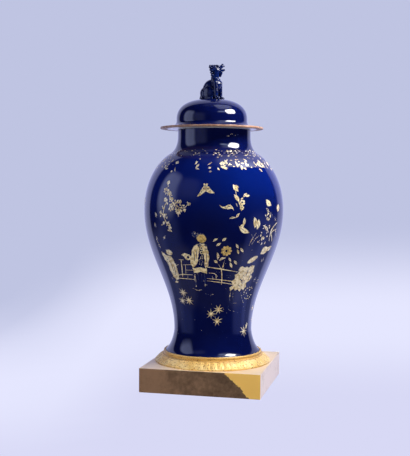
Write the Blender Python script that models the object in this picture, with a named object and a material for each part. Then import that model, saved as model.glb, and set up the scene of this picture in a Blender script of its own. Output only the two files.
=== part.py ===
# Lidded baluster vase of blue porcelain, standing in a gilt bronze collar on a square plinth.
# Metres, +Z up. The vase's axis is the Z axis, and the plinth's underside lies on z = 0.

import math

import bmesh
import bpy
from mathutils import Matrix, Vector

# Gaps between touching pieces
SEAT_GAP = 0.0003
COLLAR_PLAY = 0.0012
RING_PLAY = 0.0004

# Plinth: a square bronze casting, open underneath
PLINTH_HEIGHT = 0.0490
PLINTH_MARGIN = 0.0030
PLINTH_WALL = 0.0060
PLINTH_ARRIS = 0.0008

# Vase: heights are above its standing rim, radii are of the outer face. Its foot stands
# straight up inside the bronze collar and flares in from the collar's top edge.
FOOT_RADIUS = 0.0978
FOOT_FLARE = math.radians(50)
FOOT_RIM_WIDTH = 0.0100
BASE_RECESS = 0.0035
FLOOR_THICKNESS = 0.0130
FLOOR_FILLET = 0.0120
WAIST_RADIUS = 0.0809
WAIST_HEIGHT = 0.0673
BELLY_RADIUS = 0.1451
BELLY_HEIGHT = 0.3143
SHOULDER_RADIUS = 0.0928
SHOULDER_DEPTH = 0.0515
SHOULDER_LEAN = math.radians(60)
NECK_RADIUS = 0.0757
NECK_LENGTH = 0.0140
MOUTH_HEIGHT = 0.4830
VASE_WALL = 0.0068
RIM_ROUND = 0.0012

# How firmly each curve of the vase keeps its direction at its lower and its upper end
FOOT_PULLS = (0.385, 0.134)
BODY_PULLS = (0.37, 0.37)
SHOULDER_PULLS = (0.632, 0.139)
NECK_PULLS = (0.16, 0.70)

# Collar of gilt bronze around the foot: heights are above the plinth's top
RING_HEIGHT = 0.0237
LIP_WIDTH = 0.0048
LIP_THICKNESS = 0.0058
GROOVE_DEPTH = 0.0021
GROOVE_WIDTH = 0.0021
LIP_UNDERCUT = -30  # degrees past its outermost point, where the lip turns into the groove
BAND_REACH = 0.0162
BAND_BULGE = 0.0012
FILLET_REACH = 0.0014
FILLET_HEIGHT = 0.0032
FILLET_FALL = 0.0003
LEAF_COUNT = 52
LEAF_RELIEF = 0.0009
LEAF_SWELL = (0.75, 1.0, 0.8)  # share of the relief down the band

# Lid
FLANGE_RADIUS = 0.1069
FLANGE_THICKNESS = 0.0040
FLANGE_RISE = 0.0016
FLANGE_ROUND = 0.0012
DOME_RADIUS = 0.0736
DOME_FOOT = 0.0167
DOME_HEIGHT = 0.0458
DOME_FULLNESS = 2.6
DOME_FILLET = 0.0110
DOME_FILLET_BEND = (0.25, 0.35)  # shares of its width and height at its middle
LID_WALL = 0.0060
COLLAR_DEPTH = 0.0200
COLLAR_WALL = 0.0045
LID_SLIP = 0.0052
LID_SLIP_DIRECTION = math.radians(193)

# Lion dog on the lid: its pose and carving are shares of its own height
LION_HEIGHT = 0.0737
LION_SINK = 0.0020
LION_FACING = math.radians(-17)
LION_HEAD_TURN = math.radians(22)

# How finely the round pieces are faceted
VASE_COLUMNS = 40
LID_COLUMNS = 40
LION_GRAIN = 60
LION_FACE_SHARE = 0.036

# Places that follow from the sizes above
PLINTH_TOP = PLINTH_HEIGHT
STAND = PLINTH_TOP + SEAT_GAP
RING_OPENING = FOOT_RADIUS + RING_PLAY
RING_RADIUS = RING_OPENING + LIP_WIDTH + BAND_REACH + FILLET_REACH
PLINTH_HALF = RING_RADIUS + PLINTH_MARGIN
MOUTH_TOP = STAND + MOUTH_HEIGHT
FLANGE_UNDERSIDE = MOUTH_TOP + SEAT_GAP
COLLAR_RADIUS = NECK_RADIUS - VASE_WALL - LID_SLIP - COLLAR_PLAY
DOME_BASE = FLANGE_UNDERSIDE + DOME_FOOT
DOME_TOP = DOME_BASE + DOME_HEIGHT


def clear_scene():
    for item in list(bpy.data.objects):
        bpy.data.objects.remove(item, do_unlink=True)


def finish(name, colour, roughness, metallic=0.0, coat=0.0):
    material = bpy.data.materials.new(name)
    material.use_nodes = True
    shader = material.node_tree.nodes["Principled BSDF"]
    shader.inputs["Base Color"].default_value = (*colour, 1.0)
    shader.inputs["Roughness"].default_value = roughness
    shader.inputs["Metallic"].default_value = metallic
    shader.inputs["Coat Weight"].default_value = coat
    return material


def link(name, builder, material):
    bmesh.ops.recalc_face_normals(builder, faces=builder.faces[:])
    mesh = bpy.data.meshes.new(name)
    builder.to_mesh(mesh)
    builder.free()
    mesh.shade_smooth()
    mesh.set_sharp_from_angle(angle=math.radians(35))
    if material:
        mesh.materials.append(material)
    piece = bpy.data.objects.new(name, mesh)
    bpy.context.scene.collection.objects.link(piece)
    return piece


def guide(piece):
    piece.hide_render = True
    piece.display_type = "WIRE"
    return piece


# A curve between two (radius, height) points. A lean is the angle from the vertical at
# which it leaves and arrives, towards the axis, and a pull is a share of its height.
def bow(start, end, leans, pulls, steps):
    rise = end[1] - start[1]
    first = (start[0] - math.sin(leans[0]) * pulls[0] * rise,
             start[1] + math.cos(leans[0]) * pulls[0] * rise)
    second = (end[0] + math.sin(leans[1]) * pulls[1] * rise,
              end[1] - math.cos(leans[1]) * pulls[1] * rise)
    points = []
    for step in range(steps):
        t = step / steps
        weights = ((1 - t) ** 3, 3 * t * (1 - t) ** 2, 3 * t * t * (1 - t), t ** 3)
        corners = (start, first, second, end)
        radius = sum(w * corner[0] for w, corner in zip(weights, corners))
        height = sum(w * corner[1] for w, corner in zip(weights, corners))
        points.append((radius, height))
    return points


def arc(centre, radius, start, end, steps):
    points = []
    for step in range(steps + 1):
        angle = math.radians(start + (end - start) * step / steps)
        points.append((centre[0] + radius * math.cos(angle), centre[1] + radius * math.sin(angle)))
    return points


def raised(points, lift):
    return [(radius, height + lift) for radius, height in points]


# The same curve moved towards the axis, square to itself, by a wall's thickness.
def inset(points, wall):
    moved = []
    for index, (radius, height) in enumerate(points):
        before = points[max(index - 1, 0)]
        after = points[min(index + 1, len(points) - 1)]
        run = Vector((after[0] - before[0], after[1] - before[1])).normalized()
        moved.append((radius - run.y * wall, height + run.x * wall))
    return moved


# Turns an outline of (radius, height) points about the Z axis into one closed body. An
# outline that starts and ends on the axis is closed there, and any other closes on itself.
# A third value on a point says how much of the carving's relief shows there.
def turned(name, outline, columns, material, relief=None):
    builder = bmesh.new()
    rows = []
    for index, point in enumerate(outline):
        radius, height = point[0], point[1]
        if radius < 1e-7:
            rows.append([builder.verts.new((0, 0, height))])
            continue
        before = outline[index - 1]
        after = outline[(index + 1) % len(outline)]
        run = Vector((after[0] - before[0], after[1] - before[1])).normalized()
        row = []
        for column in range(columns):
            swell = relief(column) * point[2] if relief else 0
            reach = radius + run.y * swell
            level = height - run.x * swell
            angle = 2 * math.pi * column / columns
            row.append(builder.verts.new((reach * math.cos(angle), reach * math.sin(angle), level)))
        rows.append(row)
    pairs = list(zip(rows, rows[1:]))
    if len(rows[0]) > 1:
        pairs.append((rows[-1], rows[0]))
    for lower, upper in pairs:
        for column in range(columns):
            follow = (column + 1) % columns
            corners = [lower[column % len(lower)], lower[follow % len(lower)],
                       upper[follow % len(upper)], upper[column % len(upper)]]
            builder.faces.new(list(dict.fromkeys(corners)))
    return link(name, builder, material)


def block(name, half, bottom, top, material):
    builder = bmesh.new()
    bmesh.ops.create_cube(builder, size=1)
    scale = Matrix.Diagonal((2 * half, 2 * half, top - bottom, 1))
    middle = Matrix.Translation((0, 0, (top + bottom) / 2))
    bmesh.ops.transform(builder, matrix=middle @ scale, verts=builder.verts[:])
    return link(name, builder, material)


def make_plinth():
    bronze = finish("gilt_bronze_plinth", (0.36, 0.24, 0.12), 0.35, metallic=1.0)
    plinth = block("plinth", PLINTH_HALF, 0, PLINTH_TOP, bronze)
    arris = plinth.modifiers.new("arris", "BEVEL")
    arris.width = PLINTH_ARRIS
    arris.segments = 2
    hollow = guide(block("plinth_hollow", PLINTH_HALF - PLINTH_WALL, -PLINTH_WALL,
                         PLINTH_TOP - PLINTH_WALL, None))
    cut = plinth.modifiers.new("hollow", "BOOLEAN")
    cut.operation = "DIFFERENCE"
    cut.solver = "EXACT"
    cut.object = hollow


# Rounded lip, hollow groove and leaf-chased ovolo, down to a plain fillet on the plinth.
def make_foot_ring():
    gilt = finish("gilt_bronze_ring", (0.80, 0.52, 0.18), 0.25, metallic=1.0)
    lip_outside = RING_OPENING + LIP_WIDTH
    lip_middle = (RING_OPENING + LIP_WIDTH / 2, RING_HEIGHT - LIP_THICKNESS / 2)
    lip = [(lip_middle[0] + LIP_WIDTH / 2 * radius, lip_middle[1] + LIP_THICKNESS / 2 * height)
           for radius, height in arc((0, 0), 1, 180, LIP_UNDERCUT, 4)]
    groove = (lip_outside - GROOVE_DEPTH, RING_HEIGHT - LIP_THICKNESS)
    band_top = (lip_outside, groove[1] - GROOVE_WIDTH)
    band_foot = (lip_outside + BAND_REACH, FILLET_HEIGHT)
    band = []
    for step, share in enumerate(LEAF_SWELL, start=1):
        along = step / (len(LEAF_SWELL) + 1)
        bulge = BAND_BULGE * math.sin(math.pi * along)
        radius = band_top[0] + (band_foot[0] - band_top[0]) * along + bulge
        height = band_top[1] + (band_foot[1] - band_top[1]) * along + bulge
        band.append((radius, height, share))
    outline = [(RING_OPENING, 0, 0)]
    outline += [(radius, height, 0) for radius, height in lip]
    outline += [(*groove, 0), (*band_top, 0)]
    outline += band
    outline.append((*band_foot, 0))
    outline.append((RING_RADIUS, FILLET_HEIGHT - FILLET_FALL, 0))
    outline.append((RING_RADIUS, 0, 0))
    outline = [(radius, height + STAND, share) for radius, height, share in outline]
    turned("foot_ring", outline, LEAF_COUNT * 2, gilt, lambda column: LEAF_RELIEF * (column % 2))


def vase_curve():
    foot = (FOOT_RADIUS, RING_HEIGHT)
    waist = (WAIST_RADIUS, WAIST_HEIGHT)
    belly = (BELLY_RADIUS, BELLY_HEIGHT)
    shoulder = (SHOULDER_RADIUS, MOUTH_HEIGHT - SHOULDER_DEPTH)
    neck = (NECK_RADIUS, MOUTH_HEIGHT - NECK_LENGTH)
    curve = bow(foot, waist, (FOOT_FLARE, 0), FOOT_PULLS, 4)
    curve += bow(waist, belly, (0, 0), BODY_PULLS, 8)
    curve += bow(belly, shoulder, (0, SHOULDER_LEAN), SHOULDER_PULLS, 7)
    curve += bow(shoulder, neck, (SHOULDER_LEAN, 0), NECK_PULLS, 4)
    curve.append(neck)
    return curve


def make_vase():
    glaze = finish("blue_glazed_porcelain", (0.010, 0.028, 0.165), 0.08, coat=1.0)
    curve = vase_curve()
    rim_inside = FOOT_RADIUS - FOOT_RIM_WIDTH
    outline = [(0, BASE_RECESS),
               (rim_inside - RIM_ROUND, BASE_RECESS),
               (rim_inside, BASE_RECESS - RIM_ROUND),
               (rim_inside, RIM_ROUND),
               (rim_inside + RIM_ROUND, 0),
               (FOOT_RADIUS - RIM_ROUND, 0),
               (FOOT_RADIUS, RIM_ROUND)]
    outline += curve
    mouth_inside = NECK_RADIUS - VASE_WALL
    outline += [(NECK_RADIUS, MOUTH_HEIGHT - RIM_ROUND),
                (NECK_RADIUS - RIM_ROUND, MOUTH_HEIGHT),
                (mouth_inside + RIM_ROUND, MOUTH_HEIGHT),
                (mouth_inside, MOUTH_HEIGHT - RIM_ROUND)]
    floor = BASE_RECESS + FLOOR_THICKNESS
    inside = inset(curve, VASE_WALL)[::-2]
    inside = [point for point in inside if point[1] > floor + FLOOR_FILLET + RIM_ROUND]
    outline += inside
    corner = (inside[-1][0] - FLOOR_FILLET, floor + FLOOR_FILLET)
    outline += arc(corner, FLOOR_FILLET, 0, -90, 3)
    outline.append((0, floor))
    turned("vase_body", raised(outline, STAND), VASE_COLUMNS, glaze)


# Quarter of a full round dome, from its foot to its crown on the axis.
def dome(radius, base, height, steps):
    points = []
    for step in range(steps + 1):
        turn = math.pi / 2 * step / steps
        out = math.cos(turn) ** (2 / DOME_FULLNESS) if step < steps else 0
        points.append((radius * out, base + height * math.sin(turn) ** (2 / DOME_FULLNESS)))
    return points


def make_lid():
    glaze = finish("blue_glazed_lid", (0.010, 0.028, 0.165), 0.08, coat=1.0)
    collar_inside = COLLAR_RADIUS - COLLAR_WALL
    collar_foot = FLANGE_UNDERSIDE - COLLAR_DEPTH
    flange_top = FLANGE_UNDERSIDE + FLANGE_THICKNESS
    edge_round = min(FLANGE_ROUND, FLANGE_THICKNESS / 3)
    outline = dome(DOME_RADIUS - LID_WALL, DOME_BASE, DOME_HEIGHT - LID_WALL, 6)[::-1]
    outline += [(collar_inside, FLANGE_UNDERSIDE + LID_WALL),
                (collar_inside, collar_foot),
                (COLLAR_RADIUS, collar_foot),
                (COLLAR_RADIUS, FLANGE_UNDERSIDE),
                (FLANGE_RADIUS - edge_round, FLANGE_UNDERSIDE),
                (FLANGE_RADIUS, FLANGE_UNDERSIDE + edge_round),
                (FLANGE_RADIUS, flange_top - edge_round),
                (FLANGE_RADIUS - edge_round, flange_top)]
    fillet_foot = (DOME_RADIUS + DOME_FILLET, flange_top + FLANGE_RISE)
    fillet_bend = (DOME_RADIUS + DOME_FILLET * DOME_FILLET_BEND[0],
                   fillet_foot[1] + (DOME_BASE - fillet_foot[1]) * DOME_FILLET_BEND[1])
    outline += [fillet_foot, fillet_bend]
    outline += dome(DOME_RADIUS, DOME_BASE, DOME_HEIGHT, 9)
    lid = turned("lid", outline, LID_COLUMNS, glaze)
    lid.location = (LID_SLIP * math.cos(LID_SLIP_DIRECTION), LID_SLIP * math.sin(LID_SLIP_DIRECTION), 0)
    lion = guide(make_lion())
    lion.location = (*lid.location.xy, DOME_TOP - LION_SINK)
    lion.rotation_euler.z = LION_FACING
    join = lid.modifiers.new("lion", "BOOLEAN")
    join.operation = "UNION"
    join.solver = "EXACT"
    join.object = lion


def ball(builder, place, size, lean=0.0, turn=0.0):
    seat = Matrix.Translation(Vector(place) * LION_HEIGHT)
    tilt = Matrix.Rotation(turn, 4, "Z") @ Matrix.Rotation(lean, 4, "Y")
    girth = Matrix.Diagonal((*(Vector(size) * LION_HEIGHT), 1))
    bmesh.ops.create_icosphere(builder, subdivisions=3, radius=1, matrix=seat @ tilt @ girth)


def limb(builder, start, end, thick, thin):
    steps = 9
    for step in range(steps + 1):
        share = step / steps
        place = Vector(start).lerp(Vector(end), share)
        reach = thick + (thin - thick) * share
        ball(builder, place, (reach, reach, reach))


# The head's own places, turned with it about the neck.
def on_head(place):
    neck = Vector((0.08, 0.0, 0.0))
    return neck + Matrix.Rotation(LION_HEAD_TURN, 3, "Z") @ (Vector(place) - neck)


def lion_trunk(builder):
    ball(builder, (-0.16, 0.0, 0.19), (0.21, 0.19, 0.21))
    ball(builder, (-0.07, 0.0, 0.35), (0.20, 0.16, 0.25), lean=math.radians(38))
    ball(builder, (0.15, 0.0, 0.44), (0.14, 0.15, 0.17))
    limb(builder, (0.08, 0.0, 0.52), (0.11, 0.0, 0.76), 0.115, 0.110)
    limb(builder, (-0.35, 0.0, 0.05), (-0.31, 0.0, 0.24), 0.055, 0.045)
    ball(builder, (0.11, 0.0, 0.60), (0.145, 0.140, 0.035), lean=math.radians(12))
    ball(builder, (0.27, 0.0, 0.45), (0.045, 0.045, 0.045))


def lion_legs(builder):
    for side in (-1, 1):
        ball(builder, (-0.03, 0.145 * side, 0.20), (0.19, 0.075, 0.19), lean=math.radians(20))
        limb(builder, (-0.08, 0.16 * side, 0.05), (0.08, 0.17 * side, 0.045), 0.055, 0.050)
        limb(builder, (0.18, 0.115 * side, 0.48), (0.21, 0.12 * side, 0.07), 0.075, 0.052)
        ball(builder, (0.240, 0.125 * side, 0.05), (0.080, 0.06, 0.05))


def lion_head(builder):
    turn = LION_HEAD_TURN
    ball(builder, on_head((0.10, 0.0, 0.83)), (0.140, 0.135, 0.130), turn=turn)
    limb(builder, on_head((0.18, 0.0, 0.875)), on_head((0.29, 0.0, 0.940)), 0.070, 0.045)
    limb(builder, on_head((0.22, 0.0, 0.930)), on_head((0.345, 0.0, 0.942)), 0.034, 0.024)
    limb(builder, on_head((0.14, 0.0, 0.775)), on_head((0.350, 0.0, 0.835)), 0.070, 0.028)
    limb(builder, on_head((0.26, 0.0, 0.765)), on_head((0.24, 0.0, 0.665)), 0.050, 0.030)
    ball(builder, on_head((0.300, 0.0, 0.980)), (0.034, 0.045, 0.036), turn=turn)
    for side in (-1, 1):
        start = on_head((0.10, 0.10 * side, 0.90))
        limb(builder, start, on_head((0.03, 0.155 * side, 0.82)), 0.045, 0.028)
        ball(builder, on_head((0.185, 0.065 * side, 0.935)), (0.040, 0.036, 0.034), turn=turn)


# Snail curls over the head and down the neck.
def lion_mane(builder):
    for curl in range(4):
        place = on_head((-0.045 + 0.062 * curl, 0.0, 0.955))
        ball(builder, place, (0.040, 0.055, 0.040), turn=LION_HEAD_TURN)
    for row in range(3):
        for side in (-1, 0, 1):
            place = on_head((-0.03 + 0.022 * row, 0.085 * side, 0.90 - 0.085 * row))
            ball(builder, place, (0.048, 0.048, 0.048))


def make_lion():
    builder = bmesh.new()
    lion_trunk(builder)
    lion_legs(builder)
    lion_head(builder)
    lion_mane(builder)
    lion = link("lion_shape", builder, None)
    skin = lion.modifiers.new("skin", "REMESH")
    skin.mode = "VOXEL"
    skin.voxel_size = LION_HEIGHT / LION_GRAIN
    soften = lion.modifiers.new("soften", "SMOOTH")
    soften.iterations = 2
    thin = lion.modifiers.new("fewer_faces", "DECIMATE")
    thin.ratio = LION_FACE_SHARE
    thin.use_collapse_triangulate = True
    return lion


clear_scene()
make_plinth()
make_foot_ring()
make_vase()
make_lid()
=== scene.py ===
import math
import random
from math import atan2, cos, degrees, hypot, pi, radians, sin

import bmesh
import bpy
import numpy as np
from mathutils import Matrix, Vector
from mathutils.geometry import delaunay_2d_cdt


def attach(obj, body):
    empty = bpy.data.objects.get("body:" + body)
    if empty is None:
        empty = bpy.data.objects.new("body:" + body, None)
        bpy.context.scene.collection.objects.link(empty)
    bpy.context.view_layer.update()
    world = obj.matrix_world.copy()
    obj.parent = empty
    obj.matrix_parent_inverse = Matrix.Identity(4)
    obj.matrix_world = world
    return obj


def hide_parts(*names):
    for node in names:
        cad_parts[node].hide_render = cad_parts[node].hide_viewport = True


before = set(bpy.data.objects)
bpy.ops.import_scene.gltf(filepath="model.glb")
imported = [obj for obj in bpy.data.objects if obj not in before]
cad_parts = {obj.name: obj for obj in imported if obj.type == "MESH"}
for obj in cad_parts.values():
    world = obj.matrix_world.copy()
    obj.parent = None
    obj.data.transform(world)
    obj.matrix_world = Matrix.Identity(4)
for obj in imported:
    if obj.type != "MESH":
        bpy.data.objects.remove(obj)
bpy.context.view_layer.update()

mm = 0.001
standingLevel = 0.0493  # the plinth's top with its gap, where ring and vase stand


# camera
cameraView = {
    "azimuth": 12.65,  # degrees round from straight in front
    "distance": 1.8702,
    "height": 0.4211,
    "pan": 0.00957,
    "tilt": -0.05034,
    "roll": 0.00698,
    "focalPixels": 894.11,
    "longSidePixels": 456,
}


def makeCamera(look):
    data = bpy.data.cameras.new("photoCamera")
    data.sensor_width = 36
    data.lens = look["focalPixels"] * 36 / look["longSidePixels"]
    camera = bpy.data.objects.new("photoCamera", data)
    bpy.context.scene.collection.objects.link(camera)
    turn = radians(look["azimuth"])
    place = Vector((look["distance"] * sin(turn), -look["distance"] * cos(turn), look["height"]))
    camera.matrix_world = (
        Matrix.Translation(place)
        @ Matrix.Rotation(turn + look["pan"], 4, "Z")
        @ Matrix.Rotation(pi / 2 + look["tilt"], 4, "X")
        @ Matrix.Rotation(look["roll"], 4, "Z")
    )
    bpy.context.scene.camera = camera
    return camera


makeCamera(cameraView)
bpy.context.scene.view_settings.view_transform = "Standard"


# small helpers for nodes and meshes
def addNode(tree, kind, inputs=None, **settings):
    node = tree.nodes.new(kind)
    for key, value in settings.items():
        setattr(node, key, value)
    for key, value in (inputs or {}).items():
        if isinstance(value, bpy.types.NodeSocket):
            tree.links.new(value, node.inputs[key])
        else:
            node.inputs[key].default_value = value
    return node


def calc(tree, operation, *values):
    node = addNode(tree, "ShaderNodeMath", dict(enumerate(values)), operation=operation)
    return node.outputs[0]


def mixColour(tree, share, first, second, blend="MIX"):
    inputs = {0: share, 6: first, 7: second}
    node = addNode(tree, "ShaderNodeMix", inputs, data_type="RGBA", blend_type=blend)
    return node.outputs[2]


def noiseValue(tree, place, scale, detail=3.0, rough=0.5, warp=0.0):
    inputs = {"Vector": place, "Scale": scale, "Detail": detail, "Roughness": rough, "Distortion": warp}
    return addNode(tree, "ShaderNodeTexNoise", inputs).outputs[0]


# Turns a value into 0 to 1 between two limits.
def stepValue(tree, value, low, high):
    inputs = {0: value, 1: low, 2: high, 3: 0.0, 4: 1.0}
    node = addNode(tree, "ShaderNodeMapRange", inputs, interpolation_type="SMOOTHSTEP")
    return node.outputs[0]


def newMaterial(name):
    material = bpy.data.materials.new(name)
    material.use_nodes = True
    tree = material.node_tree
    shader = tree.nodes["Principled BSDF"]
    place = addNode(tree, "ShaderNodeTexCoord").outputs["Object"]
    return material, tree, shader, place


def setBump(tree, shader, height, depth):
    inputs = {"Height": height, "Distance": depth, "Strength": 1.0}
    bump = addNode(tree, "ShaderNodeBump", inputs)
    tree.links.new(bump.outputs[0], shader.inputs["Normal"])


def makePiece(name, vertices, faces, materials, normals=None, slots=None, smooth=True):
    mesh = bpy.data.meshes.new(name)
    mesh.from_pydata([tuple(map(float, v)) for v in vertices], [], [tuple(map(int, f)) for f in faces])
    for material in materials:
        mesh.materials.append(material)
    if slots is not None:
        mesh.polygons.foreach_set("material_index", list(map(int, slots)))
    if smooth:
        mesh.shade_smooth()
    if normals is not None:
        mesh.normals_split_custom_set_from_vertices([tuple(map(float, n)) for n in normals])
    mesh.update()
    piece = bpy.data.objects.new(name, mesh)
    bpy.context.scene.collection.objects.link(piece)
    return piece


# curves shared by the turned pieces
# A curve between two (radius, height) points. A lean is the angle from the vertical at
# which it leaves and arrives, and a pull is a share of its height.
def bow(start, end, leans, pulls, steps):
    rise = end[1] - start[1]
    first = (start[0] - sin(leans[0]) * pulls[0] * rise, start[1] + cos(leans[0]) * pulls[0] * rise)
    second = (end[0] + sin(leans[1]) * pulls[1] * rise, end[1] - cos(leans[1]) * pulls[1] * rise)
    points = []
    for step in range(steps):
        t = step / steps
        weights = ((1 - t) ** 3, 3 * t * (1 - t) ** 2, 3 * t * t * (1 - t), t**3)
        corners = (start, first, second, end)
        points.append(tuple(sum(w * c[i] for w, c in zip(weights, corners)) for i in (0, 1)))
    return points


def arc(centre, radius, start, end, steps):
    turns = [radians(start + (end - start) * step / steps) for step in range(steps + 1)]
    return [(centre[0] + radius * cos(t), centre[1] + radius * sin(t)) for t in turns]


def raised(points, lift):
    return [(point[0], point[1] + lift) for point in points]


def inset(points, wall):
    moved = []
    for index, (radius, height) in enumerate(points):
        before, after = points[max(index - 1, 0)], points[min(index + 1, len(points) - 1)]
        run = Vector((after[0] - before[0], after[1] - before[1])).normalized()
        moved.append((radius - run.y * wall, height + run.x * wall))
    return moved


# Outward (radial, upward) directions along a line of (radius, height) points.
def lineNormals(points):
    flat = np.array(points, float)
    run = np.diff(flat, axis=0)
    run /= np.maximum(np.linalg.norm(run, axis=1, keepdims=True), 1e-12)
    at = np.vstack([run[:1], run[:-1] + run[1:], run[-1:]])
    at /= np.maximum(np.linalg.norm(at, axis=1, keepdims=True), 1e-12)
    return np.column_stack([at[:, 1], -at[:, 0]])


# Turns a line of (radius, height) points about Z. Rows on the axis become one point.
def turnedMesh(points, columns, relief=None):
    vertices, rows = [], []
    directions = lineNormals(points)
    for index, (radius, height) in enumerate(points):
        if radius < 1e-7:
            rows.append([len(vertices)])
            vertices.append((0, 0, height))
            continue
        rows.append(list(range(len(vertices), len(vertices) + columns)))
        for column in range(columns):
            turn = 2 * pi * column / columns
            swell = relief(index, column) if relief else 0
            reach = radius + directions[index][0] * swell
            level = height + directions[index][1] * swell
            vertices.append((reach * sin(turn), -reach * cos(turn), level))
    faces = []
    for lower, upper in zip(rows, rows[1:]):
        for column in range(columns):
            follow = (column + 1) % columns
            corners = [lower[column % len(lower)], lower[follow % len(lower)],
                       upper[follow % len(upper)], upper[column % len(upper)]]
            faces.append(list(dict.fromkeys(corners)))
    return vertices, faces


# stage
stageLook = {
    "floorReach": 3.0,
    "curveStart": 1.35,
    "curveRadius": 1.7,
    "halfWidth": 4.5,
    # the colours of the sweep's painted light: the dim top, the bright band and the floor
    "upperTint": (0.521, 0.552, 0.761),
    "lowerTint": (0.785, 0.797, 1.0),
    "floorTint": (0.686, 0.693, 0.913),
}


# The photograph's frame coordinates of a point, in pixels, for the backdrop's soft gradient.
def framePlace(point, camera, look):
    local = camera.matrix_world.inverted() @ Vector(point)
    if local.z > -0.05:
        return None
    return (205 - look["focalPixels"] * local.x / local.z, 228 + look["focalPixels"] * local.y / local.z)


def smoothShare(value, low, high):
    t = min(max((value - low) / (high - low), 0), 1)
    return t * t * (3 - 2 * t)


def makeStage(look):
    camera = bpy.context.scene.camera
    line = [(-look["floorReach"], 0)] + [(-look["floorReach"] + 0.1 * k, 0) for k in range(1, 44)]
    line = [p for p in line if p[0] < look["curveStart"]]
    middle = (look["curveStart"], look["curveRadius"])
    line += arc(middle, look["curveRadius"], -90, 0, 40)
    line += [(middle[0] + look["curveRadius"], look["curveRadius"] + 0.1 * k) for k in range(1, 16)]
    columns = 60
    turn = radians(cameraView["azimuth"])
    vertices, faces, glow = [], [], []
    for along, height in line:
        for column in range(columns + 1):
            across = look["halfWidth"] * (2 * column / columns - 1)
            place = (across * cos(turn) - along * sin(turn), across * sin(turn) + along * cos(turn), height - 0.0004)
            vertices.append(place)
            seen = framePlace(place, camera, cameraView) or (205, 456)
            x = min(max(seen[0], -150), 560)
            y = min(max(seen[1], -200), 520)
            # The sweep glows with painted light: darker towards the top, brightest in a band behind the lower vase and
            # a little dimmer on the floor.
            ridge = 315 + 75 * smoothShare(150 - x, 0, 150)
            up = smoothShare(ridge - y, 5, 95)
            down = smoothShare(y - ridge, 15, 85)
            tint = Vector(look["lowerTint"]).lerp(Vector(look["upperTint"]), up)
            glow.append((*tint.lerp(Vector(look["floorTint"]), down), 1.0))
    for row in range(len(line) - 1):
        for column in range(columns):
            corner = row * (columns + 1) + column
            faces.append((corner, corner + 1, corner + columns + 2, corner + columns + 1))
    material = bpy.data.materials.new("paleSweep")
    material.use_nodes = True
    tree = material.node_tree
    tree.nodes.clear()
    tint = addNode(tree, "ShaderNodeAttribute", attribute_name="sweepPaintedLight").outputs["Color"]
    shine = addNode(tree, "ShaderNodeEmission", {"Color": tint, "Strength": 1.0}).outputs[0]
    out = addNode(tree, "ShaderNodeOutputMaterial")
    tree.links.new(shine, out.inputs["Surface"])
    sweep = makePiece("studioSweep", vertices, faces, [material])
    layer = sweep.data.color_attributes.new("sweepPaintedLight", "FLOAT_COLOR", "POINT")
    layer.data.foreach_set("color", [v for c in glow for v in c])
    sweep.visible_glossy = False  # the light that the glaze mirrors is set in the surroundings below
    sweep.visible_diffuse = False
    sweep.visible_shadow = False


makeStage(stageLook)
print("stage made")


# light
# Boards stand near the vase: side is degrees round from the camera's side (right is positive),
# aim is the height that the board faces. Soft panels on the sky follow: middle and half width
# in degrees, lowest and highest elevation, how soft the edges are, and the colour.
studioLight = {
    "boards": {
        "softbox": {"side": 66, "distance": 0.50, "height": 0.86, "aim": 0.50, "width": 0.36, "tall": 0.25,
                    "soft": 0.06, "mirrored": True, "tint": (31.0, 30.5, 30.0)},
        "spillCard": {"side": 34, "distance": 0.55, "height": 0.90, "aim": 0.50, "width": 0.36, "tall": 0.13,
                      "soft": 0.5, "mirrored": True, "tint": (2.5, 2.9, 3.8)},
        "fillCard": {"side": -8, "distance": 0.90, "height": 0.22, "aim": 0.20, "width": 0.80, "tall": 0.45,
                     "soft": 0.2, "mirrored": False, "tint": (2.1, 2.0, 1.85)},
        "lowCard": {"side": -4, "distance": 0.62, "height": 0.03, "aim": 0.02, "width": 0.60, "tall": 0.14,
                    "soft": 0.2, "mirrored": False, "tint": (6.2, 5.8, 5.0)},
        "rightCard": {"side": 72, "distance": 0.60, "height": 0.08, "aim": 0.05, "width": 0.50, "tall": 0.22,
                      "soft": 0.2, "mirrored": False, "tint": (3.2, 3.1, 3.1)},
        "dimCard": {"side": -41, "distance": 0.55, "height": 0.65, "aim": 0.65, "width": 0.50, "tall": 0.44,
                    "soft": 0.55, "mirrored": True, "tint": (0.21, 0.235, 0.47)},
        "leftWall": {"side": -79, "distance": 0.85, "height": 0.70, "aim": 0.70, "width": 0.72, "tall": 1.00,
                     "soft": 0.38, "mirrored": True, "tint": (1.20, 1.35, 2.15)},
    },
    "seenTint": (0.60, 0.62, 0.83),
    "shade": (0.016, 0.017, 0.026),
    "panels": (
        # the lilac background and what the table throws back
        {"middle": 180, "half": 50, "low": -60, "high": 70, "soft": 6, "tint": (0.60, 0.63, 1.05)},
        {"middle": 128, "half": 32, "low": -50, "high": -6, "soft": 12, "tint": (0.24, 0.28, 0.62)},
        {"middle": -128, "half": 28, "low": -50, "high": -14, "soft": 12, "tint": (0.18, 0.20, 0.42)},
        {"middle": 84, "half": 22, "low": -50, "high": -4, "soft": 14, "tint": (0.22, 0.28, 0.85)},
        {"middle": -84, "half": 22, "low": -32, "high": -5, "soft": 12, "tint": (0.15, 0.19, 0.50)},
        {"middle": 100, "half": 55, "low": -84, "high": -32, "soft": 10, "tint": (0.30, 0.30, 0.40)},
        {"middle": -92, "half": 45, "low": -84, "high": -32, "soft": 10, "tint": (0.22, 0.22, 0.30)},
        {"middle": 0, "half": 50, "low": -84, "high": -32, "soft": 10, "tint": (0.06, 0.06, 0.09)},
        # overhead, brighter on the right
        {"middle": 0, "half": 400, "low": 74, "high": 120, "soft": 8, "tint": (0.12, 0.13, 0.20)},
        {"middle": 75, "half": 45, "low": 50, "high": 86, "soft": 8, "tint": (1.5, 1.6, 2.1)},
    ),
}


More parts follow.
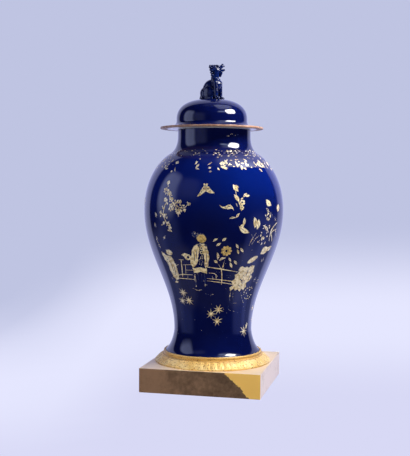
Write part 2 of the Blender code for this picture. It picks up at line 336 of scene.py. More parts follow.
def makeBoard(name, look):
    turn = radians(cameraView["azimuth"])
    side = radians(look["side"])
    toRight, toCamera = Vector((cos(turn), sin(turn), 0)), Vector((sin(turn), -cos(turn), 0))
    middle = (toRight * sin(side) + toCamera * cos(side)) * look["distance"] + Vector((0, 0, look["height"]))
    facing = (Vector((0, 0, look["aim"])) - middle).normalized()
    across = facing.cross(Vector((0, 0, 1))).normalized()
    upward = across.cross(facing)
    corners = []
    for share in (1, 1 - look["soft"]):
        for step in range(40):
            t = 2 * pi * step / 40
            x = math.copysign(abs(cos(t)) ** 0.6, cos(t)) * look["width"] / 2 * share
            y = math.copysign(abs(sin(t)) ** 0.6, sin(t)) * look["tall"] / 2 * share
            corners.append(middle + across * x + upward * y)
    faces = [list(range(40, 80))] + [[k, (k + 1) % 40, 40 + (k + 1) % 40, 40 + k] for k in range(40)]
    material = bpy.data.materials.new(name)
    material.use_nodes = True
    tree = material.node_tree
    tree.nodes.clear()
    shine = addNode(tree, "ShaderNodeEmission", {"Color": (*look["tint"], 1), "Strength": 1.0}).outputs[0]
    clear = addNode(tree, "ShaderNodeBsdfTransparent").outputs[0]
    full = addNode(tree, "ShaderNodeAttribute", attribute_name="boardShare").outputs["Fac"]
    cloth = addNode(tree, "ShaderNodeMixShader", {0: full, 1: clear, 2: shine}).outputs[0]
    out = addNode(tree, "ShaderNodeOutputMaterial")
    tree.links.new(cloth, out.inputs["Surface"])
    board = makePiece(name, corners, faces, [material], smooth=False)
    shares = board.data.attributes.new("boardShare", "FLOAT", "POINT")
    shares.data.foreach_set("value", [0.0] * 40 + [1.0] * 40)
    board.visible_camera = False
    board.visible_glossy = look["mirrored"]


def makeWorld(look):
    world = bpy.data.worlds.new("studio")
    bpy.context.scene.world = world
    world.use_nodes = True
    tree = world.node_tree
    tree.nodes.clear()
    ray = addNode(tree, "ShaderNodeTexCoord").outputs["Generated"]
    turn = radians(cameraView["azimuth"])
    toRight = (cos(turn), sin(turn), 0)
    toCamera = (sin(turn), -cos(turn), 0)
    right = addNode(tree, "ShaderNodeVectorMath", {0: ray, 1: toRight}, operation="DOT_PRODUCT").outputs["Value"]
    near = addNode(tree, "ShaderNodeVectorMath", {0: ray, 1: toCamera}, operation="DOT_PRODUCT").outputs["Value"]
    split = addNode(tree, "ShaderNodeSeparateXYZ", {0: ray})
    azimuth = calc(tree, "MULTIPLY", calc(tree, "ARCTAN2", right, near), 180 / pi)
    elevation = calc(tree, "MULTIPLY", calc(tree, "ARCSINE", split.outputs["Z"]), 180 / pi)
    total = None
    for panel in look["panels"]:
        away = calc(tree, "SUBTRACT", azimuth, float(panel["middle"]))
        away = calc(tree, "PINGPONG", calc(tree, "ADD", away, 720.0), 180.0)
        tall = (panel["high"] - panel["low"]) / 2
        level = calc(tree, "ABSOLUTE", calc(tree, "SUBTRACT", elevation, panel["low"] + tall))
        across = calc(tree, "POWER", calc(tree, "DIVIDE", away, float(panel["half"])), 4.0)
        upward = calc(tree, "POWER", calc(tree, "DIVIDE", level, tall), 4.0)
        edge = calc(tree, "POWER", calc(tree, "ADD", across, upward), 0.25)
        blur = panel["soft"] / 2 / min(panel["half"], tall)
        share = stepValue(tree, edge, 1 + blur, 1 - blur)
        lit = mixColour(tree, share, (0, 0, 0, 1), (*panel["tint"], 1))
        total = lit if total is None else mixColour(tree, 1.0, total, lit, "ADD")
    total = mixColour(tree, 1.0, total, (*look["shade"], 1), "ADD")
    seen = addNode(tree, "ShaderNodeLightPath").outputs["Is Camera Ray"]
    tint = mixColour(tree, seen, total, (*look["seenTint"], 1))
    glow = addNode(tree, "ShaderNodeBackground", {"Color": tint, "Strength": 1.0})
    out = addNode(tree, "ShaderNodeOutputWorld")
    tree.links.new(glow.outputs[0], out.inputs["Surface"])


for boardName, boardLook in studioLight["boards"].items():
    makeBoard(boardName, boardLook)
makeWorld(studioLight)
print("light made")


# finishes
glazeLook = {
    "deep": (0.0011, 0.0030, 0.042),
    "bright": (0.0015, 0.0046, 0.060),
    # the shoulder's brighter blue is painted light from above
    "shoulder": (0.0015, 0.0098, 0.125),
    "worn": (0.010, 0.020, 0.10),
    "gloss": 0.05,
    "rubbed": 0.36,
    "rubbedFrom": (0.4470, 0.4520),
    "rubbedTo": (0.4850, 0.4740),
}
# the lion's glaze has a darker deep blue, a lighter bright blue, finer clouds and a rougher finish than the vase's
lionGlazeLook = {
    **glazeLook,
    "deep": (0.0012, 0.0014, 0.024),
    "bright": (0.0018, 0.0110, 0.085),
    "gloss": 0.11,
}


# Powder blue: colour blown on in fine specks, with softer clouds in it, under a clear glaze.
def cobaltGlaze(name, look, shine=0.5, clouding=14.0):
    material, tree, shader, place = newMaterial(name)
    clouds = noiseValue(tree, place, clouding, 4.0, 0.6)
    specks = noiseValue(tree, place, 900.0, 2.0, 0.6)
    blend = calc(tree, "ADD", calc(tree, "MULTIPLY", clouds, 0.6), calc(tree, "MULTIPLY", specks, 0.5))
    share = stepValue(tree, blend, 0.35, 0.75)
    colour = mixColour(tree, share, (*look["deep"], 1), (*look["bright"], 1))
    # the blue is painted brighter on the shoulder: painted light falling on it from above
    split = addNode(tree, "ShaderNodeSeparateXYZ", {0: place})
    height = split.outputs["Z"]
    up = calc(tree, "MULTIPLY", stepValue(tree, height, 0.32, 0.43), stepValue(tree, height, 0.50, 0.45))
    thin = mixColour(tree, calc(tree, "MULTIPLY", share, 0.3), (*look["shoulder"], 1), (*look["bright"], 1))
    colour = mixColour(tree, up, colour, thin)
    tree.links.new(colour, shader.inputs["Base Color"])
    # and rubbed duller under the gilt brocade, on the right
    angle = calc(tree, "ARCTAN2", split.outputs["X"], calc(tree, "MULTIPLY", split.outputs["Y"], -1.0))
    rubbed = calc(tree, "MULTIPLY", stepValue(tree, angle, 0.16, 0.42), stepValue(tree, angle, 1.60, 1.15))
    rubbed = calc(tree, "MULTIPLY", rubbed, stepValue(tree, height, *look["rubbedFrom"]))
    rubbed = calc(tree, "MULTIPLY", rubbed, stepValue(tree, height, *look["rubbedTo"]))
    rough = calc(tree, "ADD", calc(tree, "MULTIPLY", rubbed, look["rubbed"] - look["gloss"]), look["gloss"])
    tree.links.new(rough, shader.inputs["Roughness"])
    shader.inputs["Specular IOR Level"].default_value = shine
    shader.inputs["IOR"].default_value = 1.52
    return material


gildingLook = {
    "gold": (0.58, 0.42, 0.15),
    "paleGold": (0.96, 0.84, 0.52),
    "metal": 0.35,
    "rough": 0.48,
}


# Thin fired gold, rubbed through to the glaze in fine specks and along its edges.
def gilding(name, look, worn):
    material, tree, shader, place = newMaterial(name)
    grain = noiseValue(tree, place, 420.0, 3.0, 0.65)
    patches = noiseValue(tree, place, 60.0, 3.0, 0.6)
    cover = calc(tree, "ADD", calc(tree, "MULTIPLY", grain, 0.55), calc(tree, "MULTIPLY", patches, 0.45))
    left = stepValue(tree, cover, worn - 0.05, worn + 0.05)
    tone = stepValue(tree, noiseValue(tree, place, 170.0, 3.0, 0.6), 0.34, 0.60)
    gold = mixColour(tree, tone, (*look["gold"], 1), (*look["paleGold"], 1))
    colour = mixColour(tree, left, (*glazeLook["worn"], 1), gold)
    tree.links.new(colour, shader.inputs["Base Color"])
    tree.links.new(calc(tree, "MULTIPLY", left, look["metal"]), shader.inputs["Metallic"])
    roughness = calc(tree, "ADD", calc(tree, "MULTIPLY", left, look["rough"] - 0.12), 0.12)
    tree.links.new(roughness, shader.inputs["Roughness"])
    return material


bronzeLook = {
    "gold": (0.90, 0.57, 0.16),
    "pale": (0.98, 0.75, 0.33),
    # the dark of the pits, and the painted shade of the groove
    "deep": (0.46, 0.22, 0.05),
    "lip": (0.82, 0.52, 0.15),
    "metal": 0.25,
    "rough": 0.45,
}


def giltBronze(name, look):
    material, tree, shader, place = newMaterial(name)
    clouds = noiseValue(tree, place, 40.0, 4.0, 0.6)
    colour = mixColour(tree, stepValue(tree, clouds, 0.35, 0.7), (*look["gold"], 1), (*look["pale"], 1))
    pits = noiseValue(tree, place, 330.0, 2.0, 0.6)
    split = addNode(tree, "ShaderNodeSeparateXYZ", {0: place})
    squares = [calc(tree, "MULTIPLY", split.outputs[axis], split.outputs[axis]) for axis in "XY"]
    reach = calc(tree, "SQRT", calc(tree, "ADD", *squares))
    colour = mixColour(tree, stepValue(tree, reach, 0.1042, 0.1030), colour, (*look["lip"], 1))
    # The groove under the lip is painted darker: painted shade.
    groove = calc(tree, "MULTIPLY", stepValue(tree, reach, 0.1026, 0.1034), stepValue(tree, reach, 0.1058, 0.1048))
    shade = calc(tree, "MAXIMUM", stepValue(tree, pits, 0.47, 0.33), calc(tree, "MULTIPLY", groove, 0.75))
    colour = mixColour(tree, shade, colour, (*look["deep"], 1))
    tree.links.new(colour, shader.inputs["Base Color"])
    shader.inputs["Metallic"].default_value = look["metal"]
    rough = calc(tree, "ADD", calc(tree, "MULTIPLY", clouds, 0.18), look["rough"] - 0.05)
    tree.links.new(rough, shader.inputs["Roughness"])
    setBump(tree, shader, noiseValue(tree, place, 500.0, 3.0, 0.6), 0.00012)
    return material


plinthLook = {
    "brown": (0.32, 0.185, 0.105),
    "darkBrown": (0.105, 0.058, 0.031),
    # the bright gold of the front's jagged corner
    "bare": (1.0, 0.62, 0.14),
    # the gold colours below show on the right face and the top, as painted light where the lamps fall
    "dullGold": (0.78, 0.60, 0.41),
    "pinkGold": (0.93, 0.77, 0.58),
    "litTopGold": (0.90, 0.68, 0.40),
    "metal": 0.15,
}


def plinthPatina(name, look):
    material, tree, shader, place = newMaterial(name)
    split = addNode(tree, "ShaderNodeSeparateXYZ", {0: place})
    clouds = noiseValue(tree, place, 26.0, 5.0, 0.65)
    streaks = noiseValue(tree, place, 120.0, 4.0, 0.7)
    blend = calc(tree, "ADD", calc(tree, "MULTIPLY", clouds, 0.6), calc(tree, "MULTIPLY", streaks, 0.4))
    # the brown is thinner towards the left
    pale = calc(tree, "ADD", blend, calc(tree, "MULTIPLY", stepValue(tree, split.outputs["X"], 0.02, -0.12), 0.22))
    brown = mixColour(tree, stepValue(tree, pale, 0.35, 0.78), (*look["darkBrown"], 1), (*look["brown"], 1))
    gold = mixColour(tree, stepValue(tree, blend, 0.36, 0.52), (*look["dullGold"], 1), (*look["pinkGold"], 1))
    # the front turns from brown to bright gold at one corner, beyond a jagged slanting line
    jag = calc(tree, "MULTIPLY", calc(tree, "SUBTRACT", noiseValue(tree, place, 90.0, 4.0, 0.7), 0.5), 0.030)
    slant = calc(tree, "ADD", calc(tree, "MULTIPLY", split.outputs["Z"], 1.05), split.outputs["X"])
    slant = calc(tree, "ADD", slant, jag)
    goldCorner = stepValue(tree, slant, 0.1030, 0.1045)
    colour = mixColour(tree, goldCorner, brown, (*look["bare"], 1))
    # Painted light: the right face and the top show the pale gilt instead of the brown by which way they face, where
    # the lamps at the right and above fall.
    facing = addNode(tree, "ShaderNodeNewGeometry").outputs["Normal"]
    sides = addNode(tree, "ShaderNodeSeparateXYZ", {0: facing})
    upward = stepValue(tree, sides.outputs["Z"], 0.6, 0.8)
    colour = mixColour(tree, stepValue(tree, sides.outputs["X"], 0.6, 0.8), colour, gold)
    colour = mixColour(tree, upward, colour, gold)
    colour = mixColour(tree, calc(tree, "MULTIPLY", upward, 0.7), colour, (*look["litTopGold"], 1))
    tree.links.new(colour, shader.inputs["Base Color"])
    shader.inputs["Metallic"].default_value = look["metal"]
    rough = calc(tree, "ADD", calc(tree, "MULTIPLY", blend, 0.25), 0.36)
    tree.links.new(rough, shader.inputs["Roughness"])
    setBump(tree, shader, streaks, 0.0002)
    return material


def copperRim(name):
    material, tree, shader, place = newMaterial(name)
    patches = noiseValue(tree, place, 90.0, 4.0, 0.65)
    colour = mixColour(tree, stepValue(tree, patches, 0.35, 0.7), (0.27, 0.13, 0.07, 1), (0.45, 0.275, 0.18, 1))
    tree.links.new(colour, shader.inputs["Base Color"])
    shader.inputs["Roughness"].default_value = 0.5
    return material


def whiteGlaze(name):
    material, tree, shader, place = newMaterial(name)
    patches = noiseValue(tree, place, 40.0, 3.0, 0.6)
    colour = mixColour(tree, patches, (0.50, 0.52, 0.54, 1), (0.66, 0.68, 0.70, 1))
    tree.links.new(colour, shader.inputs["Base Color"])
    shader.inputs["Roughness"].default_value = 0.15
    return material


blueGlaze = cobaltGlaze("cobaltGlaze", glazeLook)
dullGlaze = cobaltGlaze("dullGlaze", glazeLook, 0.0)
lionGlaze = cobaltGlaze("lionGlaze", lionGlazeLook, 0.4, 60.0)
brightGilding = gilding("brightGilding", gildingLook, 0.40)
rubbedGilding = gilding("rubbedGilding", gildingLook, 0.54)
deepGilding = gilding("deepGilding", {**gildingLook, "gold": (0.40, 0.26, 0.055), "paleGold": (0.78, 0.57, 0.20)}, 0.38)
copperEdge = copperRim("copperEdge")
innerWhite = whiteGlaze("innerWhite")
ringGold = giltBronze("ringGold", bronzeLook)
patina = plinthPatina("plinthPatina", plinthLook)
print("finishes made")


# plinth
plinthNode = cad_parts["plinth"]
plinthNode.data.materials.clear()
plinthNode.data.materials.append(patina)


# foot ring
ringShape = {
    "opening": 0.0982,
    "height": 0.0237,
    "lipWidth": 0.0048,
    "lipThickness": 0.0058,
    "grooveDepth": 0.0021,
    "grooveWidth": 0.0021,
    "bandReach": 0.0162,
    "bandBulge": 0.0012,
    "filletHeight": 0.0032,
    "outerRadius": 0.1206,
    "leaves": 52,
    "leafRelief": 0.0009,
    "columnsPerLeaf": 14,
    "bandRows": 26,
}


# How far the chased leaf band stands out: a tongue with a rib, and a dart between tongues.
def leafRelief(across, along, relief):
    side = abs(2 * across - 1)  # 0 at the middle of a leaf, 1 between two leaves
    edge = 0.80 * (1 - max(along - 0.45, 0) ** 2 * 2.2) * min(1, along * 5 + 0.35)
    inside = edge - side
    tongue = min(max(inside * 5, 0), 1)
    rib = math.exp(-((side / 0.13) ** 2)) * 0.45
    hollow = -0.35 * math.exp(-(((side - edge * 0.55) / 0.16) ** 2))
    dart = math.exp(-(((1 - side) / 0.10) ** 2)) * smoothShare(along, 0.35, 0.9) * 0.7
    beads = 0.30 * math.cos(along * 34 + side * 5) * tongue * 0.5
    height = tongue * (0.75 + rib + hollow + beads) + (1 - tongue) * dart
    fade = smoothShare(along, 0.0, 0.10) * smoothShare(1 - along, 0.0, 0.10)
    return (height - 0.35) * relief * fade


def makeFootRing(look):
    lipOutside = look["opening"] + look["lipWidth"]
    middle = (look["opening"] + look["lipWidth"] / 2, look["height"] - look["lipThickness"] / 2)
    lip = [(middle[0] + look["lipWidth"] / 2 * r, middle[1] + look["lipThickness"] / 2 * h)
           for r, h in arc((0, 0), 1, 180, -30, 18)]
    groove = (lipOutside - look["grooveDepth"], look["height"] - look["lipThickness"])
    bandTop = (lipOutside, groove[1] - look["grooveWidth"])
    bandFoot = (lipOutside + look["bandReach"], look["filletHeight"])
    line = [(look["opening"], 0)] + lip
    line += [(lip[-1][0] * (1 - t) + groove[0] * t, lip[-1][1] * (1 - t) + groove[1] * t) for t in (0.5, 1.0)]
    line += [(groove[0] * (1 - t) + bandTop[0] * t, groove[1] * (1 - t) + bandTop[1] * t) for t in (0.15, 0.55, 1.0)]
    first = len(line)
    for step in range(1, look["bandRows"]):
        along = step / look["bandRows"]
        bulge = look["bandBulge"] * sin(pi * along)
        line.append((bandTop[0] + (bandFoot[0] - bandTop[0]) * along + bulge,
                     bandTop[1] + (bandFoot[1] - bandTop[1]) * along + bulge))
    last = len(line)
    line += [bandFoot, (look["outerRadius"] - 0.0003, look["filletHeight"]),
             (look["outerRadius"], look["filletHeight"] - 0.0004), (look["outerRadius"], 0.0003),
             (look["outerRadius"] - 0.0003, 0), (look["opening"], 0)]
    each = look["columnsPerLeaf"]

    def relief(index, column):
        if not first <= index < last:
            return 0
        along = (index - first + 1) / look["bandRows"]
        return leafRelief((column % each) / each, along, look["leafRelief"])

    vertices, faces = turnedMesh(raised(line, standingLevel)[::-1], look["leaves"] * each,
                                 lambda index, column: -relief(len(line) - 1 - index, column))
    ring = makePiece("giltFootRing", vertices, faces, [ringGold])
    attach(ring, "root")
    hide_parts("foot_ring")
    return ring


makeFootRing(ringShape)
print("foot ring made")


# vase
vaseShape = {
    "footRadius": 0.0978,
    "ringHeight": 0.0237,
    "footFlare": 50,
    "waistRadius": 0.0809,
    "waistHeight": 0.0673,
    "bellyRadius": 0.1451,
    "bellyHeight": 0.3143,
    "shoulderRadius": 0.0928,
    "shoulderDepth": 0.0515,
    "shoulderLean": 60,
    "neckRadius": 0.0757,
    "neckLength": 0.0140,
    "mouthHeight": 0.4830,
    "wall": 0.0068,
    "rimRound": 0.0012,
    "footRim": 0.0100,
    "baseRecess": 0.0035,
    "floor": 0.0130,
    "floorFillet": 0.0120,
    "columns": 180,
    "rowStep": 4.0 * mm,
    "dullZone": ((18.0, 340.0), (70.0, 398.0)),
}


def vaseCurve(look, fine):
    foot = (look["footRadius"], look["ringHeight"])
    waist = (look["waistRadius"], look["waistHeight"])
    belly = (look["bellyRadius"], look["bellyHeight"])
    shoulder = (look["shoulderRadius"], look["mouthHeight"] - look["shoulderDepth"])
    neck = (look["neckRadius"], look["mouthHeight"] - look["neckLength"])
    flare, lean = radians(look["footFlare"]), radians(look["shoulderLean"])
    line = bow(foot, waist, (flare, 0), (0.385, 0.134), fine)
    line += bow(waist, belly, (0, 0), (0.37, 0.37), fine * 2)
    line += bow(belly, shoulder, (0, lean), (0.632, 0.139), fine * 2)
    line += bow(shoulder, neck, (lean, 0), (0.16, 0.70), fine)
    return line + [neck, (look["neckRadius"], look["mouthHeight"] - look["rimRound"])]


# The outer surface by its arc length, from the ring's top up to the mouth.
class OuterSurface:
    def __init__(self, look):
        line = np.array(raised(vaseCurve(look, 60), standingLevel))
        self.along = np.concatenate([[0], np.cumsum(np.hypot(*np.diff(line, axis=0).T))])
        self.line, self.normals = line, lineNormals(line)
        self.length = self.along[-1]

    def radius(self, along):
        return np.interp(along, self.along, self.line[:, 0])

    def point(self, turn, along):
        reach, height = self.radius(along), np.interp(along, self.along, self.line[:, 1])
        return np.column_stack([reach * np.sin(turn), -reach * np.cos(turn), height])

    def normal(self, turn, along):
        out = np.interp(along, self.along, self.normals[:, 0])
        up = np.interp(along, self.along, self.normals[:, 1])
        flat = np.column_stack([out * np.sin(turn), -out * np.cos(turn), up])
        return flat / np.linalg.norm(flat, axis=1, keepdims=True)


outer = OuterSurface(vaseShape)

# painting
# Gilt motifs on the outer surface. A place is the angle from the front in degrees, growing
# to the right, and the length up the profile in mm. "bare" leaves glaze inside a motif.
paintedShapes = []


def reachAt(along):
    return float(outer.radius(along * mm)) / mm


def patch(kind, place, outline, lean=0.0):
    reach, turn = reachAt(place[1]), radians(lean)
    area = sum(a[0] * b[1] - b[0] * a[1] for a, b in zip(outline, [*outline[1:], outline[0]]))
    outline = outline if area > 0 else outline[::-1]  # every outline runs anticlockwise
    paintedShapes.append((kind, [(place[0] + degrees((x * cos(turn) - y * sin(turn)) / reach),
                                  place[1] + x * sin(turn) + y * cos(turn)) for x, y in outline]))


def oval(kind, place, size, lean=0.0, middle=(0.0, 0.0), steps=12):
    turns = [2 * pi * step / steps for step in range(steps)]
    patch(kind, place, [(middle[0] + size[0] * cos(t), middle[1] + size[1] * sin(t)) for t in turns], lean)


# Distance in mm and direction in degrees from one place to another.
def span(start, end):
    across = radians(end[0] - start[0]) * reachAt((start[1] + end[1]) / 2)
    return hypot(across, end[1] - start[1]), degrees(atan2(end[1] - start[1], across))


def leaf(start, end, width, bend=0.0, kind="bright"):
    length, lean = span(start, end)

    def side(sign, first, last, half):
        shares = [first + (last - first) * step / 8 for step in range(9)]
        return [(length * t, bend * length * sin(pi * t) + sign * half * sin(pi * (t - first) / (last - first)))
                for t in shares]

    patch(kind, start, side(-1, 0, 1, width / 2) + side(1, 0, 1, width / 2)[-2:0:-1], lean)
    if width > 3.5 and kind == "bright":
        patch("bare", start, side(-1, 0.12, 0.72, 0.32) + side(1, 0.12, 0.72, 0.32)[-2:0:-1], lean)


# A brush line through places, thinner towards its ends.
def stroke(places, width, kind="bright"):
    reach = reachAt(places[0][1])
    line = np.array([(radians(a - places[0][0]) * reach, s - places[0][1]) for a, s in places])
    if len(line) > 2:
        near, far = line[:-1] * 0.75 + line[1:] * 0.25, line[:-1] * 0.25 + line[1:] * 0.75
        line = np.vstack([line[:1], np.stack([near, far], 1).reshape(-1, 2)[1:-1], line[-1:]])
    run = np.gradient(line, axis=0)
    run /= np.linalg.norm(run, axis=1, keepdims=True)
    half = np.full(len(line), width / 2)
    half[0], half[-1] = width * 0.3, width * 0.3
    side = np.column_stack([-run[:, 1], run[:, 0]]) * half[:, None]
    patch(kind, places[0], [tuple(p) for p in (*(line - side), *(line + side)[::-1])])


def blossom(place, size, petals=5, lean=0.0, kind="bright"):
    turns = [2 * pi * step / (petals * 6) for step in range(petals * 6)]
    outline = [(cos(t), sin(t)) for t in turns]
    reach = [size * (0.70 + 0.30 * abs(cos(petals * t / 2)) ** 0.6) for t in turns]
    patch(kind, place, [(x * r, y * r) for (x, y), r in zip(outline, reach)], lean)
    for petal in range(petals):
        turn = 360 * (petal + 0.5) / petals + lean
        patch("bare", place, [(size * 0.3, -0.25), (size * 0.62, -0.15), (size * 0.62, 0.15), (size * 0.3, 0.25)], turn)
    oval("bare", place, (size * 0.24, size * 0.24), steps=8)


def starLeaf(place, size, points=8, lean=0.0, kind="bright"):
    outline = []
    for step in range(points * 2):
        turn = pi * step / points
        reach = size * ((1.08, 0.86, 0.98)[step % 3] if step % 2 == 0 else 0.26)
        outline.append((reach * cos(turn), reach * sin(turn)))
    patch(kind, place, outline, lean)


def butterfly(place, size, lean=0.0):
    wings = (
        ((0.0, 0.35), (-0.25, 0.40), (-0.48, 0.05), (-0.72, -0.42), (-1.0, -0.88), (-0.66, -0.80), (-0.32, -0.50), (-0.04, -0.28)),
        ((0.02, 0.34), (0.30, 0.30), (0.52, 0.02), (0.78, -0.26), (1.04, -0.48), (0.72, -0.52), (0.36, -0.46), (0.04, -0.28)),
        ((-0.26, 0.42), (-0.34, 0.62), (-0.20, 0.72), (-0.06, 0.55), (0.08, 0.70), (0.22, 0.62), (0.14, 0.38)),
    )
    for wing in wings:
        patch("bright", place, [(x * size, y * size) for x, y in wing], lean)
    for x, y, across, up in ((0.24, 0.04, 0.10, 0.07), (-0.26, 0.08, 0.07, 0.12), (0.5, -0.2, 0.07, 0.04),
                             (-0.5, -0.34, 0.05, 0.08), (0.0, -0.02, 0.03, 0.14), (-0.06, 0.38, 0.10, 0.05)):
        oval("bare", place, (across * size, up * size), lean, (x * size, y * size), 8)


def bird(place, size, flip=1, lean=0.0):
    body = ((-1.0, 0.34), (-0.60, 0.10), (-0.22, 0.14), (0.12, 0.40), (0.46, 0.40), (0.74, 0.14), (0.98, -0.42),
            (0.70, -0.14), (0.44, -0.16), (0.10, -0.22), (-0.36, -0.14), (-0.80, 0.02))
    patch("bright", place, [(x * size * flip, y * size) for x, y in body], lean)
    for x, y, across, up in ((0.30, 0.16, 0.20, 0.06), (-0.12, -0.04, 0.22, 0.04), (0.56, 0.04, 0.05, 0.05)):
        oval("bare", place, (across * size, up * size), lean, (x * size * flip, y * size), 8)


# Generic robed figures: outlines in shares of their height, from the middle of the hem up,
# and ovals as middle, size and lean.
robes = {
    "standing": (
        ("faint", "oval", (-0.045, 0.935), (0.055, 0.062), 20),
        ("faint", "oval", (0.075, 0.885), (0.112, 0.082), -20),
        ("deep", "oval", (0.100, 0.838), (0.096, 0.092), -35),
        ("faint", "patch", (-0.06, 0.69), (0.05, 0.73), (0.14, 0.73), (0.22, 0.68), (0.14, 0.66), (0.05, 0.655)),
        ("bright", "patch", (0.005, 0.700), (-0.065, 0.665), (-0.11, 0.580), (-0.15, 0.440), (-0.195, 0.300),
         (-0.180, 0.200), (-0.140, 0.140), (-0.090, 0.180), (-0.020, 0.270), (0.010, 0.415), (0.030, 0.510), (0.045, 0.630)),
        ("bright", "patch", (0.120, 0.690), (0.205, 0.655), (0.240, 0.535), (0.250, 0.370), (0.215, 0.180),
         (0.155, 0.140), (0.135, 0.270), (0.135, 0.440), (0.110, 0.560)),
        ("bright", "patch", (-0.165, 0.145), (-0.10, 0.120), (-0.03, 0.150), (0.06, 0.150), (0.14, 0.120),
         (0.185, 0.140), (0.188, 0.005), (0.11, 0.020), (0.03, 0.045), (-0.05, 0.010), (-0.14, 0.015)),
        ("bright", "oval", (0.085, 0.620), (0.032, 0.042), 0), ("bare", "oval", (0.085, 0.620), (0.016, 0.024), 0),
        ("bright", "oval", (0.088, 0.515), (0.036, 0.042), 0), ("bare", "oval", (0.088, 0.515), (0.018, 0.022), 0),
        ("bright", "oval", (-0.245, 0.395), (0.080, 0.075), 0), ("bare", "oval", (-0.235, 0.390), (0.030, 0.032), 0),
        ("bright", "patch", (-0.385, 0.450), (-0.30, 0.490), (-0.22, 0.465), (-0.28, 0.400), (-0.33, 0.400)),
        ("bare", "patch", (-0.10, 0.56), (-0.075, 0.45), (-0.085, 0.30), (-0.095, 0.30), (-0.09, 0.45)),
        ("bare", "patch", (-0.03, 0.60), (-0.015, 0.50), (-0.035, 0.36), (-0.043, 0.36), (-0.03, 0.50)),
        ("bare", "patch", (0.175, 0.60), (0.198, 0.45), (0.188, 0.28), (0.178, 0.28), (0.186, 0.45)),
        ("faint", "patch", (0.05, 0.42), (0.065, 0.42), (0.07, 0.20), (0.055, 0.20)),
        ("faint", "patch", (0.085, 0.45), (0.10, 0.45), (0.105, 0.22), (0.09, 0.22)),
        ("faint", "patch", (0.02, 0.36), (0.032, 0.36), (0.03, 0.22), (0.015, 0.22)),
    ),
    "walking": (
        ("bright", "oval", (0.02, 0.915), (0.105, 0.085), -10),
        ("faint", "oval", (-0.02, 0.975), (0.07, 0.05), 10),
        ("bright", "patch", (-0.27, 0.90), (-0.17, 0.85), (-0.06, 0.80), (0.06, 0.80), (0.13, 0.70), (0.19, 0.50),
         (0.22, 0.28), (0.20, 0.06), (0.11, 0.02), (0.0, 0.10), (-0.05, 0.26), (-0.10, 0.46), (-0.20, 0.64), (-0.26, 0.78)),
        ("bare", "patch", (-0.04, 0.72), (0.04, 0.52), (0.06, 0.30), (0.045, 0.30), (0.02, 0.52)),
        ("bare", "patch", (0.10, 0.60), (0.13, 0.40), (0.12, 0.20), (0.105, 0.20), (0.11, 0.40)),
        ("bright", "patch", (0.02, -0.06), (0.12, -0.08), (0.17, -0.02), (0.08, 0.0)),
        ("faint", "patch", (-0.10, 0.08), (-0.02, 0.02), (0.0, -0.06), (-0.08, -0.02)),
    ),
    "seated": (
        ("bright", "oval", (0.135, 0.905), (0.150, 0.062), 38),
        ("faint", "oval", (0.075, 0.835), (0.050, 0.045), 20),
        ("bright", "patch", (-0.09, 0.73), (-0.02, 0.68), (0.04, 0.71), (0.09, 0.665), (0.17, 0.74), (0.24, 0.72),
         (0.27, 0.55), (0.22, 0.46), (0.28, 0.38), (0.20, 0.26), (0.13, 0.22), (0.17, 0.10), (0.10, 0.0), (0.04, 0.05),
         (-0.02, -0.03), (-0.08, 0.05), (-0.15, 0.01), (-0.20, 0.07), (-0.30, 0.0), (-0.33, 0.10), (-0.24, 0.18),
         (-0.30, 0.28), (-0.22, 0.36), (-0.25, 0.48), (-0.16, 0.52), (-0.17, 0.63)),
        ("bare", "patch", (0.075, 0.66), (0.10, 0.55), (0.07, 0.44), (0.058, 0.44), (0.08, 0.55)),
        ("bare", "patch", (-0.08, 0.36), (0.0, 0.30), (0.02, 0.20), (0.005, 0.20), (-0.02, 0.28), (-0.09, 0.34)),
        ("bare", "patch", (0.18, 0.58), (0.21, 0.42), (0.18, 0.30), (0.168, 0.30), (0.19, 0.42)),
        ("bare", "patch", (-0.14, 0.20), (-0.06, 0.16), (0.02, 0.08), (-0.06, 0.14)),
    ),
}


# An outline with the broken edge of worn gold.
def ragged(points):
    rng = random.Random(31)
    broken = []
    for (x, y), (u, v) in zip(points, [*points[1:], points[0]]):
        steps = max(int(hypot(u - x, v - y) / 4.0), 1)
        for step in range(steps):
            t, off = step / steps, 1.1 if step else 0.4
            broken.append((x + (u - x) * t + rng.uniform(-off, off), y + (v - y) * t + rng.uniform(-off, off)))
    return broken


def figure(robe, place, tall, lean=0.0, wide=1.0):
    for kind, form, *points in robes[robe]:
        if form == "oval":
            middle, size, tilt = points
            turn, turns = radians(tilt), [2 * pi * step / 14 for step in range(14)]
            points = [(middle[0] + size[0] * cos(t) * cos(turn) - size[1] * sin(t) * sin(turn),
                       middle[1] + size[0] * cos(t) * sin(turn) + size[1] * sin(t) * cos(turn)) for t in turns]
        points = [(x * tall * wide, y * tall) for x, y in points]
        patch(kind, place, ragged(points) if (kind, form) == ("bright", "patch") else points, lean)


